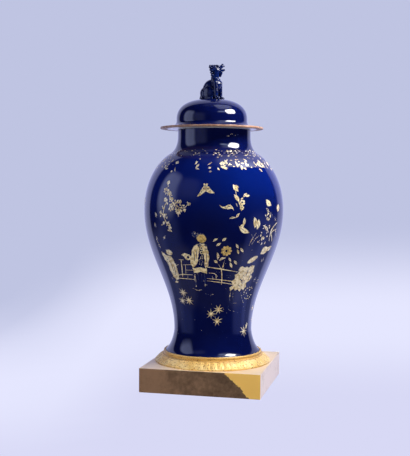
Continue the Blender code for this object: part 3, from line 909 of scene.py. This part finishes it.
gildedScene = {
    "leaves": (
        ((-30.3, 361.6), (-27.1, 367.3), 6.1, 0.0, "bright"),
        ((-14.4, 321.1), (-14.3, 329.7), 6.3, 0.0, "bright"),
        ((28.4, 360.7), (32.5, 346.3), 7.9, -0.05, "bright"), ((29.1, 358.3), (33.3, 354.7), 4.6, 0.0, "bright"),
        ((28.8, 340.8), (32.7, 325.6), 7.3, 0.05, "bright"), ((36.3, 335.7), (39.9, 343.6), 5.0, 0.0, "bright"),
        ((37.9, 337.3), (42.3, 338.9), 4.3, 0.0, "bright"), ((34.0, 331.4), (36.4, 334.1), 2.8, 0.0, "bright"),
        ((24.8, 293.4), (29.9, 295.7), 4.0, 0.1, "bright"), ((29.9, 295.3), (33.1, 304.6), 4.5, 0.0, "bright"),
        ((37.2, 295.6), (36.4, 279.1), 5.6, 0.06, "bright"), ((32.8, 278.8), (42.5, 265.3), 9.9, -0.08, "bright"),
        ((33.8, 274.4), (37.0, 283.0), 6.5, 0.0, "bright"), ((46.1, 296.5), (47.2, 274.2), 9.9, 0.1, "bright"),
        ((49.5, 271.7), (50.5, 292.3), 8.8, -0.08, "bright"),
        ((58.7, 330.4), (65.3, 318.6), 11.9, -0.1, "bright"), ((75.3, 304.9), (77.4, 320.9), 12.7, 0.0, "bright"),
        ((59.5, 219.3), (68.8, 232.0), 16.3, 0.06, "bright"), ((66.7, 224.9), (74.0, 234.6), 9.3, 0.0, "bright"),
        ((12.3, 247.6), (16.3, 254.2), 3.9, 0.1, "bright"), ((19.6, 249.3), (23.0, 255.4), 5.0, 0.0, "bright"),
        ((14.8, 239.0), (18.8, 245.2), 4.6, 0.0, "bright"), ((15.8, 225.5), (16.5, 209.2), 5.0, 0.1, "bright"),
        ((13.3, 208.7), (16.6, 202.7), 5.1, 0.0, "bright"), ((17.8, 207.0), (23.9, 213.9), 4.5, 0.15, "bright"),
        ((26.5, 214.3), (28.8, 205.5), 4.0, 0.0, "bright"), ((28.1, 203.8), (30.8, 191.3), 4.6, 0.0, "bright"),
        ((21.6, 191.6), (22.2, 200.4), 2.8, 0.0, "bright"), ((31.5, 242.9), (34.4, 233.2), 4.4, 0.0, "bright"),
        ((33.4, 231.1), (35.3, 221.6), 4.1, 0.0, "bright"), ((36.0, 234.3), (39.5, 225.2), 4.7, 0.0, "bright"),
        ((31.7, 208.0), (35.3, 198.6), 4.8, 0.0, "bright"), ((69.5, 53.0), (72.0, 67.0), 6.0, 0.0, "bright"),
        ((-29.9, 257.6), (-34.8, 247.1), 4.5, 0, "faint"), ((-42.6, 254.8), (-42.6, 240.1), 8.4, 0, "faint"),
        ((-42.2, 240.2), (-42.1, 225.2), 8.4, 0, "faint"), ((-40.9, 303.7), (-39.2, 291.9), 6.4, 0, "faint"),
        ((-42.2, 283.5), (-41.1, 271.5), 7.1, 0, "faint"), ((58.7, 313.7), (63.2, 301.6), 5.6, 0, "faint"),
        ((63.7, 305.5), (67.7, 293.3), 6.0, 0, "faint"), ((57.8, 297.9), (62.4, 287.7), 5.5, 0, "faint"),
        ((69.1, 297.2), (73.2, 286.8), 6.9, 0, "faint"), ((63.3, 156.2), (65.4, 169.5), 8.8, 0, "faint"),
        ((69.5, 150.7), (71.7, 161.5), 8.8, 0, "faint"), ((64.3, 201.1), (66.5, 209.6), 7.1, 0, "faint"),
        ((-4.6, 394.7), (-1.6, 405.8), 4.5, 0.0, "bright"), ((7.5, 394.8), (9.9, 397.6), 4.5, 0.0, "bright"),
        ((8.3, 386.6), (10.5, 388.9), 3.6, 0.0, "bright"), ((-27.8, 405.5), (-26.5, 413.3), 9.3, 0.0, "bright"),
        ((-30.4, 387.0), (-28.1, 389.2), 4.3, 0.0, "bright"),
    ),
    "stems": (
        (((-28.5, 349.0), (-25.0, 338.0), (-22.5, 327.0), (-18.5, 315.0), (-15.0, 303.0)), 1.6, "bright"),
        (((-21.0, 322.0), (-15.0, 314.0), (-10.5, 313.0), (-7.5, 321.0)), 1.2, "bright"),
        (((-27.0, 327.0), (-30.0, 313.0), (-31.0, 299.0), (-28.0, 284.0), (-24.0, 273.0)), 1.6, "bright"),
        (((30.2, 347.5), (30.6, 339.6)), 1.7, "bright"),
        (((32.2, 326.7), (33.8, 318.2), (34.6, 308.5)), 1.7, "bright"),
        (((30.1, 324.0), (31.1, 317.4)), 1.7, "bright"),
        (((75.4, 283.8), (68.3, 273.8), (66.3, 260.9), (67.1, 246.2)), 2.9, "bright"),
        (((76.1, 270.2), (68.6, 266.9), (67.9, 256.6)), 2.1, "bright"),
        (((66.3, 265.0), (71.0, 252.1), (71.8, 243.5)), 2.1, "bright"),
        (((70.4, 279.0), (74.7, 266.2), (78.4, 255.3)), 1.7, "faint"),
        (((49.4, 264.4), (46.2, 254.5), (43.9, 238.9)), 1.7, "faint"),
        (((52.6, 258.9), (48.9, 252.2), (46.7, 242.0)), 1.5, "faint"),
        (((44.7, 262.7), (47.0, 250.3)), 1.3, "faint"),
        (((16.4, 202.7), (18.6, 196.1), (20.1, 188.1)), 1.0, "faint"),
        (((23.8, 218.7), (23.2, 209.2), (21.7, 198.3)), 1.0, "faint"),
        (((3.2, 134.0), (7.4, 132.0)), 1.5, "faint"), (((9.5, 132.0), (13.5, 132.6)), 1.9, "faint"),
        (((33.3, 139.6), (33.1, 126.2), (34.7, 112.9)), 1.5, "faint"),
        (((37.0, 140.2), (36.7, 127.3), (40.2, 114.6)), 1.3, "faint"),
        (((32.9, 108.7), (32.3, 100.9), (37.0, 95.4)), 1.3, "faint"),
        (((40.6, 95.1), (49.9, 90.6)), 1.5, "faint"), (((36.2, 111.9), (43.4, 112.1)), 1.0, "faint"),
        (((47.5, 136.0), (50.7, 122.3), (56.4, 109.2)), 2.5, "faint"),
        (((-6.3, 177.2), (-6.5, 161.5), (-6.3, 148.1)), 3.1, "faint"),
        (((-2.7, 177.5), (-2.8, 164.1)), 1.7, "faint"),
        (((3.9, 178.0), (4.1, 164.5), (4.1, 151.0)), 2.7, "faint"), (((1.0, 177.8), (0.7, 159.8)), 1.3, "faint"),
        (((-10.7, 145.4), (-6.2, 140.0), (1.1, 142.8)), 1.3, "faint"),
    ),
    "fence": (
        (((-18.2, 207.8), (-19.1, 189.2), (-21.0, 168.8)), 2.1, "bright"),
        (((-20.3, 208.0), (-15.7, 207.2)), 1.5, "bright"),
        (((20.2, 191.6), (21.7, 171.5), (21.7, 154.9)), 2.1, "bright"),
        (((18.1, 190.8), (23.0, 189.4)), 1.5, "bright"), (((-17.2, 196.5), (-7.6, 198.0)), 1.5, "bright"),
        (((-15.0, 185.2), (-7.8, 185.6)), 1.5, "bright"), (((-14.5, 196.8), (-16.0, 176.2)), 1.3, "bright"),
        (((-30.9, 167.7), (-25.2, 172.7), (-20.9, 175.1), (-8.6, 175.2)), 1.5, "bright"),
        (((-30.9, 164.6), (-19.7, 165.8), (-6.8, 164.6)), 1.4, "bright"),
        (((6.7, 193.7), (15.3, 191.2), (37.9, 181.9)), 2.1, "bright"),
        (((6.3, 168.2), (20.8, 165.3), (37.9, 159.9)), 1.5, "bright"),
        (((6.2, 162.8), (21.1, 159.4), (39.4, 152.6)), 1.4, "bright"),
        (((8.5, 180.4), (15.4, 179.2), (15.8, 168.4)), 1.4, "bright"),
        (((11.9, 173.8), (12.5, 167.1)), 1.3, "bright"), (((25.6, 175.5), (31.0, 173.9)), 1.3, "faint"),
        (((25.9, 170.5), (31.3, 169.4)), 1.3, "faint"), (((-25.3, 188.3), (-26.6, 172.5)), 1.5, "bright"),
        (((-28.0, 191.0), (-22.4, 196.7)), 1.5, "bright"), (((-12.2, 196.6), (-14.6, 167.4)), 1.0, "faint"),
    ),
    # clumps of small petals: middle, reach in degrees and mm, how many, and their length
    "clumps": (
        ((-28.8, 360.0), (1.6, 4.0), 4, 4.0), ((-29.0, 349.0), (2.6, 6.0), 10, 4.0),
        ((-25.0, 341.0), (2.8, 5.0), 10, 4.0), ((-22.5, 331.0), (2.4, 5.0), 9, 4.0),
        ((-27.0, 326.0), (2.0, 4.0), 6, 4.0), ((-18.5, 321.0), (3.0, 4.5), 12, 4.0),
        ((-21.5, 312.0), (3.5, 5.0), 13, 4.0), ((-16.0, 305.0), (3.0, 7.0), 16, 4.5),
        ((-12.0, 318.0), (2.0, 4.0), 6, 4.0), ((-10.5, 311.0), (2.0, 3.5), 6, 4.0),
        ((-7.5, 323.0), (1.2, 2.5), 3, 4.0), ((-30.0, 314.0), (2.0, 5.0), 6, 4.0),
        ((-32.5, 301.0), (3.0, 5.0), 8, 4.5), ((-29.0, 291.0), (2.5, 7.0), 9, 5.0),
        ((-27.0, 280.0), (2.5, 6.0), 8, 5.0), ((-23.5, 271.0), (2.0, 4.0), 5, 6.0),
        ((-31.5, 284.0), (2.0, 5.0), 5, 5.0), ((57.0, 250.0), (6.0, 10.0), 14, 4.5),
        ((60.0, 272.0), (6.0, 12.0), 16, 4.5), ((62.0, 296.0), (4.0, 8.0), 8, 5.0),
    ),
    "blossoms": (
        ((23.8, 228.5), 11.0, 9), ((35.4, 325.2), 6.0, 5), ((34.9, 315.1), 4.6, 5), ((-6.7, 321.4), 3.2, 5),
        ((-22.6, 317.5), 4.6, 5), ((-16.2, 306.5), 5.0, 6), ((-28.9, 329.0), 4.4, 5),
    ),
    "stars": (
        ((-26.0, 133.1), 11.4), ((-30.1, 114.8), 10.4), ((-19.1, 116.4), 11.2), ((19.6, 99.3), 11.6),
        ((10.1, 89.8), 10.6), ((18.4, 75.1), 11.2), ((64.0, 50.0), 13.0),
    ),
}


# Pierced garden stone beside the seated figure, mostly rubbed away.
def gardenStone(place, size):
    for reach, holes in ((1.0, 15), (0.52, 8)):
        for hole in range(holes):
            turn = 2 * pi * hole / holes
            place2 = (size * reach * 0.8 * cos(turn), size * reach * 1.35 * sin(turn))
            oval("bright" if hole % 4 else "faint", place, (size * 0.15, size * 0.10), degrees(turn), place2, 7)


def paintScene(scene):
    rng = random.Random(47)
    for index in range(180):  # flecks of the gold that was rubbed away
        oval("faint", (rng.uniform(-170, 170), 40 + 190 * rng.random() ** 1.3), (0.9, 0.6), rng.uniform(0, 90), steps=5)
    for start, end, width, bend, kind in scene["leaves"]:
        leaf(start, end, width, bend, kind)
    for places, width, kind in scene["stems"] + scene["fence"]:
        stroke(places, width, kind)
    for (angle, level), (wide, tall), count, long in scene["clumps"]:
        for index in range(count):
            reach, turn, lean = rng.random() ** 0.7, rng.uniform(0, 2 * pi), rng.uniform(0, 2 * pi)
            start = (angle + wide * reach * cos(turn), level + tall * reach * sin(turn))
            length = long * rng.uniform(0.8, 1.6)
            end = (start[0] + degrees(length * cos(lean) / reachAt(start[1])), start[1] + length * sin(lean))
            leaf(start, end, length * rng.uniform(0.4, 0.6), 0.1)
    for index, (place, size, petals) in enumerate(scene["blossoms"]):
        blossom(place, size, petals, 37.0 * index, "bright" if index else "deep")
    for index, (place, size) in enumerate(scene["stars"]):
        starLeaf(place, size, 8, 23.0 * index)
    butterfly((6.4, 351.1), 16.7)
    bird((22.9, 315.1), 14.6)
    figure("standing", (-1.0, 179.0), 89.0, wide=0.9)
    figure("walking", (-34.4, 160.0), 68.0, -6)
    figure("seated", (45.6, 139.4), 76.0)
    gardenStone((62.0, 132.0), 12.0)


# Sprays, birds and leaves on the side that the photograph doesn't show.
def paintBack():
    rng = random.Random(5)
    for base, flip in (((128.0, 196.0), 1), ((-142.0, 232.0), -1), ((-96.0, 262.0), 1)):
        stem = [(base[0] + flip * a, base[1] + s) for a, s in ((0, 0), (3, 22), (9, 40), (17, 54), (26, 62))]
        stroke(stem, 3.4)
        stroke([stem[1], (stem[1][0] - flip * 7, stem[1][1] + 18), (stem[1][0] - flip * 9, stem[1][1] + 38)], 2.0)
        for index in range(16):
            at = stem[index % 5]
            lean = radians(rng.uniform(20, 160))
            start = (at[0] + rng.uniform(-4, 4), at[1] + rng.uniform(-6, 8))
            long = rng.uniform(9, 15)
            end = (start[0] + degrees(long * cos(lean) / 140), start[1] + long * sin(lean))
            leaf(start, end, rng.uniform(4.5, 6.5), rng.uniform(-0.1, 0.1))
        for at, size in ((stem[-1], 9.0), (stem[2], 7.5), ((stem[1][0] - flip * 9, stem[1][1] + 40), 8.0)):
            blossom(at, size, 5, rng.uniform(0, 72))
    bird((104.0, 330.0), 14.0, -1)
    bird((-112.0, 352.0), 13.0, 1)
    butterfly((172.0, 330.0), 14.0)
    figure("standing", (160.0, 150.0), 84.0, wide=-1)
    for start, end in ((176.0, 196.0), (-164.0, -150.0)):
        first, last = (start, end) if end <= 180 else (start, 179.0)
        for level, width in ((196.0, 2.4), (170.0, 1.8), (162.0, 1.6)):
            stroke([(first, level), (last, level)], width)
    for angle in (-158.0, -150.0, 140.0, 132.0):
        stroke([(angle, 202.0), (angle, 158.0)], 2.4)
    for index in range(12):
        angle = 84.0 + 8.2 * index if index < 6 else -84.0 - 8.2 * (index - 6)
        starLeaf((angle + rng.uniform(-2, 2), rng.uniform(66, 128)), rng.uniform(8, 11), 8, rng.uniform(0, 90))


brocadeLook = {
    "seed": 11,
    "meshLow": 428.0,
    "meshHigh": 450.0,
    "meshRows": 3,
    "meshCells": 60,
    "lobes": 17,
    "lobeTip": 388.0,
    "lobeLeaves": 17,
    "dashes": 420,
    # how much of the gold is left, by angle
    "keptAt": (-180, -95, -62, -40, -14, 8, 16, 70, 100, 180),
    "kept": (0.45, 0.50, 0.80, 0.60, 0.10, 0.06, 0.80, 0.90, 0.60, 0.45),
}


# Worn brocade round the shoulder: open mesh above, pendent lobes of small leaves below and
# broken dashes of gold between them.
def paintBrocade(look):
    rng = random.Random(look["seed"])

    def left(angle, share=1.0):
        return rng.random() < share * np.interp(angle, look["keptAt"], look["kept"])

    cell = 360 / look["meshCells"]
    rise = (look["meshHigh"] - look["meshLow"]) / look["meshRows"]
    for column in range(look["meshCells"] - 1):
        angle = -180 + cell * (column + 0.5)
        for row in range(look["meshRows"]):
            level = look["meshLow"] + rise * row
            for first, second in (((angle, level), (angle + cell, level + rise)), ((angle, level + rise), (angle + cell, level))):
                if left(angle, 0.6):
                    stroke([first, second], 0.9, "faint")
            if left(angle, 0.6):
                oval("bright", (angle + cell / 2, level + rise * 0.5), (1.5, 1.2), steps=6)
    lobe = 360 / look["lobes"]
    for index in range(look["lobes"]):
        middle = -180 + lobe * (index + 0.5)
        for step in range(look["lobeLeaves"]):
            turn = radians(-200 + 220 * step / (look["lobeLeaves"] - 1) + rng.uniform(-14, 14))
            reach = rng.uniform(0.35, 1.0)
            if left(middle, 0.72):
                start = (middle + lobe * 0.40 * reach * cos(turn), look["lobeTip"] + 22 + 21 * reach * sin(turn))
                lean, long = turn + pi / 2 + rng.uniform(-0.9, 0.9), rng.uniform(6.0, 12.0)
                end = (start[0] + degrees(long * cos(lean) / 112), start[1] + long * sin(lean))
                leaf(start, end, rng.uniform(2.2, 3.8), rng.uniform(-0.2, 0.2))
        if left(middle, 0.8):
            blossom((middle, look["lobeTip"] + 20.0), 4.6, 5, 17.0 * index)
    for index in range(look["dashes"]):
        angle, level = rng.uniform(-176, 176), look["lobeTip"] + 4 + 58 * rng.random() ** 0.8
        lean, long = radians(rng.uniform(-50, 50)), rng.uniform(2.5, 7.0)
        end = (angle + degrees(long * cos(lean) / 105), level + long * sin(lean) * 0.8)
        if left(angle, 0.75):
            leaf((angle, level), end, rng.uniform(1.2, 3.2), rng.uniform(-0.15, 0.15), "bright" if rng.random() < 0.8 else "faint")
    for angle, level in ((-6.0, 436.0), (4.0, 438.0), (34.0, 479.0), (40.0, 483.0), (45.0, 480.0), (51.0, 482.0)):
        oval("faint", (angle, level), (3.4, 1.5), 10.0, steps=8)


paintScene(gildedScene)
paintBack()
paintBrocade(brocadeLook)
print("painted shapes", len(paintedShapes))


kindSlots = (("bare", 0), ("deep", 5), ("bright", 1), ("faint", 2))  # the first one found wins


# Joins the painted outlines and an even grid of points into one flush surface.
def paintedSurface(look, shapes):
    columns = look["columns"]
    rows = int(round(outer.length / look["rowStep"]))
    plane = 140.0  # mm per radian in the flat plan of the surface
    top = outer.length / mm
    points = []
    for row in range(rows + 1):
        for column in range(columns + 1):
            turn = -pi + 2 * pi * column / columns
            points.append(Vector((turn * plane, top * row / rows)))
    loops = []
    for kind, outline in shapes:
        start = len(points)
        points += [Vector((radians(angle) * plane, min(max(along, 1.0), top - 1.0))) for angle, along in outline]
        loops.append(list(range(start, len(points))))
    flat, _, triangles, _, _, owners = delaunay_2d_cdt(points, [], loops, 0, 1e-5, True)
    flat = np.array([tuple(v) for v in flat])
    turn, along = flat[:, 0] / plane, flat[:, 1] * mm
    slots = []
    for owner in owners:
        kinds = {shapes[index][0] for index in owner}
        found = [slot for kind, slot in kindSlots if kind in kinds]
        slots.append(found[0] if found else 0)
    middles = flat[np.array([tuple(t) for t in triangles])].mean(axis=1)
    (left, low), (right, high) = look["dullZone"]
    slots = [4 if slot == 0 and left < degrees(across / plane) < right and low < level < high else slot
             for slot, (across, level) in zip(slots, middles)]
    # the two sides of the plan meet at the back
    edge = pi * plane
    left = {round(v[1], 3): i for i, v in enumerate(flat) if abs(v[0] + edge) < 1e-3}
    same = np.arange(len(flat))
    for index, v in enumerate(flat):
        if abs(v[0] - edge) < 1e-3:
            same[index] = left[round(v[1], 3)]
    faces = [[same[i] for i in triangle] for triangle in triangles]
    bottomRow, topRow = {}, {}
    for index, v in enumerate(flat):
        column = round((v[0] / plane + pi) * columns / (2 * pi)) % columns
        if abs(v[1]) < 1e-3:
            bottomRow[column] = same[index]
        elif abs(v[1] - top) < 1e-3:
            topRow[column] = same[index]
    return (outer.point(turn, along), outer.normal(turn, along), faces, slots,
            [bottomRow[c] for c in range(columns)], [topRow[c] for c in range(columns)])


def makeVase(look, shapes):
    points, normals, faces, slots, bottomRow, topRow = paintedSurface(look, shapes)
    points, normals = list(map(tuple, points)), list(map(tuple, normals))
    faces = [list(f) for f in faces]
    columns = look["columns"]
    mouthInside = look["neckRadius"] - look["wall"]
    bend = look["rimRound"]
    upper = arc((look["neckRadius"] - bend, look["mouthHeight"] - bend), bend, 0, 90, 5)
    upper += arc((mouthInside + bend, look["mouthHeight"] - bend), bend, 90, 180, 5)
    floor = look["baseRecess"] + look["floor"]
    inside = inset(vaseCurve(look, 16), look["wall"])[::-1]
    inside = [p for p in inside if floor + look["floorFillet"] + bend < p[1] < look["mouthHeight"] - 2 * bend]
    corner = (inside[-1][0] - look["floorFillet"], floor + look["floorFillet"])
    upper += inside + arc(corner, look["floorFillet"], 0, -90, 6) + [(0, floor)]
    rimInside = look["footRadius"] - look["footRim"]
    lower = [(0, look["baseRecess"]), (rimInside - bend, look["baseRecess"]),
             (rimInside, look["baseRecess"] - bend), (rimInside, bend), (rimInside + bend, 0),
             (look["footRadius"] - bend, 0), (look["footRadius"], bend),
             (look["footRadius"], look["ringHeight"] - 0.002)]

    def addRows(line, closing):
        directions = lineNormals(line)
        rows = []
        for (radius, height), (out, up) in zip(line, directions):
            count = 1 if radius < 1e-7 else columns
            rows.append(list(range(len(points), len(points) + count)))
            for column in range(count):
                turn = -pi + 2 * pi * column / columns
                points.append((radius * sin(turn), -radius * cos(turn), height + standingLevel))
                normals.append((0, 0, 1 if closing else -1) if count == 1 else (out * sin(turn), -out * cos(turn), up))
        return rows

    upperRows = [topRow] + addRows(upper[1:], True)
    lowerRows = addRows(lower, False) + [bottomRow]
    for rows in (upperRows, lowerRows):
        for low, high in zip(rows, rows[1:]):
            for column in range(columns):
                follow = (column + 1) % columns
                corners = [low[column % len(low)], low[follow % len(low)],
                           high[follow % len(high)], high[column % len(high)]]
                faces.append(list(dict.fromkeys(corners)))
                slots.append(3 if rows is upperRows and low is not topRow else 0)
    used = sorted({i for face in faces for i in face})
    renumber = {old: new for new, old in enumerate(used)}
    faces = [[renumber[i] for i in face] for face in faces]
    vase = makePiece("gildedVase", [points[i] for i in used], faces,
                     [blueGlaze, brightGilding, rubbedGilding, innerWhite, dullGlaze, deepGilding],
                     [normals[i] for i in used], slots)
    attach(vase, "root")
    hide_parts("vase_body")
    print("vase faces", len(faces))
    return vase


makeVase(vaseShape, paintedShapes)
print("vase made")


# lid
lidShape = {
    "underside": 0.5326,
    "flangeRadius": 0.1069,
    "flangeThickness": 0.0040,
    "flangeRise": 0.0016,
    "edgeRound": 0.0012,
    "copperWidth": 0.0140,
    "domeRadius": 0.0736,
    "domeFoot": 0.0167,
    "domeHeight": 0.0458,
    "fullness": 2.6,
    "fillet": 0.0110,
    "wall": 0.0060,
    "collarRadius": 0.0625,
    "collarDepth": 0.0200,
    "collarWall": 0.0045,
    "slip": 0.0052,
    "slipDirection": 193,
    "columns": 180,
}
lidPlace = Vector((lidShape["slip"] * cos(radians(lidShape["slipDirection"])),
                   lidShape["slip"] * sin(radians(lidShape["slipDirection"])), 0))


def dome(radius, base, height, fullness, steps):
    points = []
    for step in range(steps + 1):
        turn = pi / 2 * step / steps
        out = cos(turn) ** (2 / fullness) if step < steps else 0
        points.append((radius * out, base + height * sin(turn) ** (2 / fullness)))
    return points


def makeLid(look):
    base = look["underside"] + look["domeFoot"]
    top = look["underside"] + look["flangeThickness"]
    collarInside = look["collarRadius"] - look["collarWall"]
    collarFoot = look["underside"] - look["collarDepth"]
    inner = dome(look["domeRadius"] - look["wall"], base, look["domeHeight"] - look["wall"], look["fullness"], 24)[::-1]
    bend = look["edgeRound"]
    line = inner + [(collarInside, look["underside"] + look["wall"]), (collarInside, collarFoot + 0.001),
                    (collarInside + 0.001, collarFoot), (look["collarRadius"] - 0.001, collarFoot),
                    (look["collarRadius"], collarFoot + 0.001), (look["collarRadius"], look["underside"] - 0.0005),
                    (look["collarRadius"] + 0.0005, look["underside"]),
                    (look["flangeRadius"] - look["copperWidth"], look["underside"])]
    edgeStart = len(line) - 1
    line += arc((look["flangeRadius"] - bend, look["underside"] + bend), bend, -90, 0, 5)
    line += arc((look["flangeRadius"] - bend, top - bend), bend, 0, 90, 5)
    edgeEnd = len(line)
    foot = (look["domeRadius"] + look["fillet"], top + look["flangeRise"])
    bendPoint = (look["domeRadius"] + look["fillet"] * 0.25, foot[1] + (base - foot[1]) * 0.35)
    start = (look["domeRadius"], base)
    corners = [foot, bendPoint, start]
    for step in range(0, 12):  # the curved fillet passes through the same three points
        t = step / 12
        passing = [2 * corners[1][i] - 0.5 * (corners[0][i] + corners[2][i]) for i in (0, 1)]
        line.append(tuple((1 - t) ** 2 * corners[0][i] + 2 * t * (1 - t) * passing[i] + t * t * corners[2][i]
                          for i in (0, 1)))
    line += dome(look["domeRadius"], base, look["domeHeight"], look["fullness"], 48)
    vertices, faces = turnedMesh(line, look["columns"])
    vertices = [(x + lidPlace.x, y + lidPlace.y, z) for x, y, z in vertices]
    slots = []
    for row in range(len(line) - 1):
        kind = 2 if row < edgeStart else 1 if row < edgeEnd - 1 else 0
        slots += [kind] * look["columns"]
    lid = makePiece("domedLid", vertices, faces, [blueGlaze, copperEdge, innerWhite], slots=slots)
    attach(lid, "root")
    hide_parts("lid")
    return lid


makeLid(lidShape)
print("lid made")


# lion
lionShape = {
    "height": 0.0737,
    "sink": 0.0020,
    "facing": -17,
    "headTurn": 22,
    "grain": 150,
}


def ball(builder, place, size, lean=0.0, turn=0.0):
    tall = lionShape["height"]
    seat = Matrix.Translation(Vector(place) * tall)
    tilt = Matrix.Rotation(turn, 4, "Z") @ Matrix.Rotation(lean, 4, "Y")
    girth = Matrix.Diagonal((*(Vector(size) * tall), 1))
    bmesh.ops.create_icosphere(builder, subdivisions=3, radius=1, matrix=seat @ tilt @ girth)


def limb(builder, start, end, thick, thin):
    steps = 12
    for step in range(steps + 1):
        share = step / steps
        reach = thick + (thin - thick) * share
        ball(builder, Vector(start).lerp(Vector(end), share), (reach, reach, reach))


def onHead(place):
    neck = Vector((0.08, 0.0, 0.0))
    return neck + Matrix.Rotation(radians(lionShape["headTurn"]), 3, "Z") @ (Vector(place) - neck)


def lionTrunk(builder):
    ball(builder, (-0.16, 0.0, 0.19), (0.21, 0.19, 0.21))
    ball(builder, (-0.07, 0.0, 0.35), (0.20, 0.16, 0.25), lean=radians(38))
    ball(builder, (0.15, 0.0, 0.44), (0.14, 0.15, 0.17))
    limb(builder, (0.08, 0.0, 0.52), (0.11, 0.0, 0.76), 0.115, 0.110)
    limb(builder, (-0.35, 0.0, 0.05), (-0.31, 0.0, 0.24), 0.055, 0.045)
    ball(builder, (0.11, 0.0, 0.60), (0.145, 0.140, 0.035), lean=radians(12))
    ball(builder, (0.27, 0.0, 0.45), (0.045, 0.045, 0.045))


def lionLegs(builder):
    for side in (-1, 1):
        ball(builder, (-0.03, 0.145 * side, 0.20), (0.19, 0.075, 0.19), lean=radians(20))
        limb(builder, (-0.08, 0.16 * side, 0.05), (0.08, 0.17 * side, 0.045), 0.055, 0.050)
        limb(builder, (0.18, 0.115 * side, 0.48), (0.21, 0.12 * side, 0.07), 0.075, 0.052)
        for toe in (-1, 0, 1):
            ball(builder, (0.258, (0.125 + 0.034 * toe) * side, 0.045), (0.060, 0.022, 0.040))
            ball(builder, (0.095, (0.165 + 0.030 * toe) * side, 0.040), (0.045, 0.018, 0.034))


def lionHead(builder):
    turn = radians(lionShape["headTurn"])
    ball(builder, onHead((0.10, 0.0, 0.83)), (0.140, 0.135, 0.130), turn=turn)
    limb(builder, onHead((0.18, 0.0, 0.875)), onHead((0.29, 0.0, 0.940)), 0.070, 0.045)
    limb(builder, onHead((0.22, 0.0, 0.930)), onHead((0.345, 0.0, 0.942)), 0.034, 0.024)
    limb(builder, onHead((0.14, 0.0, 0.775)), onHead((0.350, 0.0, 0.835)), 0.070, 0.028)
    limb(builder, onHead((0.26, 0.0, 0.765)), onHead((0.24, 0.0, 0.665)), 0.050, 0.030)
    ball(builder, onHead((0.300, 0.0, 0.980)), (0.034, 0.045, 0.036), turn=turn)
    for side in (-1, 1):
        limb(builder, onHead((0.10, 0.10 * side, 0.90)), onHead((0.03, 0.155 * side, 0.82)), 0.045, 0.028)
        ball(builder, onHead((0.185, 0.065 * side, 0.935)), (0.040, 0.036, 0.034), turn=turn)
        ball(builder, onHead((0.215, 0.062 * side, 0.915)), (0.022, 0.022, 0.022), turn=turn)


def lionMane(builder):
    for curl in range(4):
        ball(builder, onHead((-0.045 + 0.062 * curl, 0.0, 0.955)), (0.036, 0.045, 0.036))
    for row in range(4):
        for column in range(-2, 3):
            place = onHead((-0.035 + 0.018 * row, 0.062 * column, 0.905 - 0.075 * row))
            ball(builder, place, (0.040, 0.034, 0.036))


def makeLion(look):
    builder = bmesh.new()
    lionTrunk(builder)
    lionLegs(builder)
    lionHead(builder)
    lionMane(builder)
    mesh = bpy.data.meshes.new("lionKnob")
    builder.to_mesh(mesh)
    builder.free()
    lion = bpy.data.objects.new("lionKnob", mesh)
    bpy.context.scene.collection.objects.link(lion)
    skin = lion.modifiers.new("skin", "REMESH")
    skin.mode = "VOXEL"
    skin.voxel_size = look["height"] / look["grain"]
    soften = lion.modifiers.new("soften", "SMOOTH")
    soften.iterations = 3
    shown = bpy.data.meshes.new_from_object(lion.evaluated_get(bpy.context.evaluated_depsgraph_get()))
    lion.modifiers.clear()
    lion.data = shown
    shown.materials.clear()
    shown.materials.append(lionGlaze)
    shown.shade_smooth()
    base = lidShape["underside"] + lidShape["domeFoot"] + lidShape["domeHeight"] - look["sink"]
    lion.matrix_world = Matrix.Translation((lidPlace.x, lidPlace.y, base)) @ Matrix.Rotation(radians(look["facing"]), 4, "Z")
    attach(lion, "root")
    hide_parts("lid")
    print("lion faces", len(shown.polygons))
    return lion


makeLion(lionShape)
print("lion made")
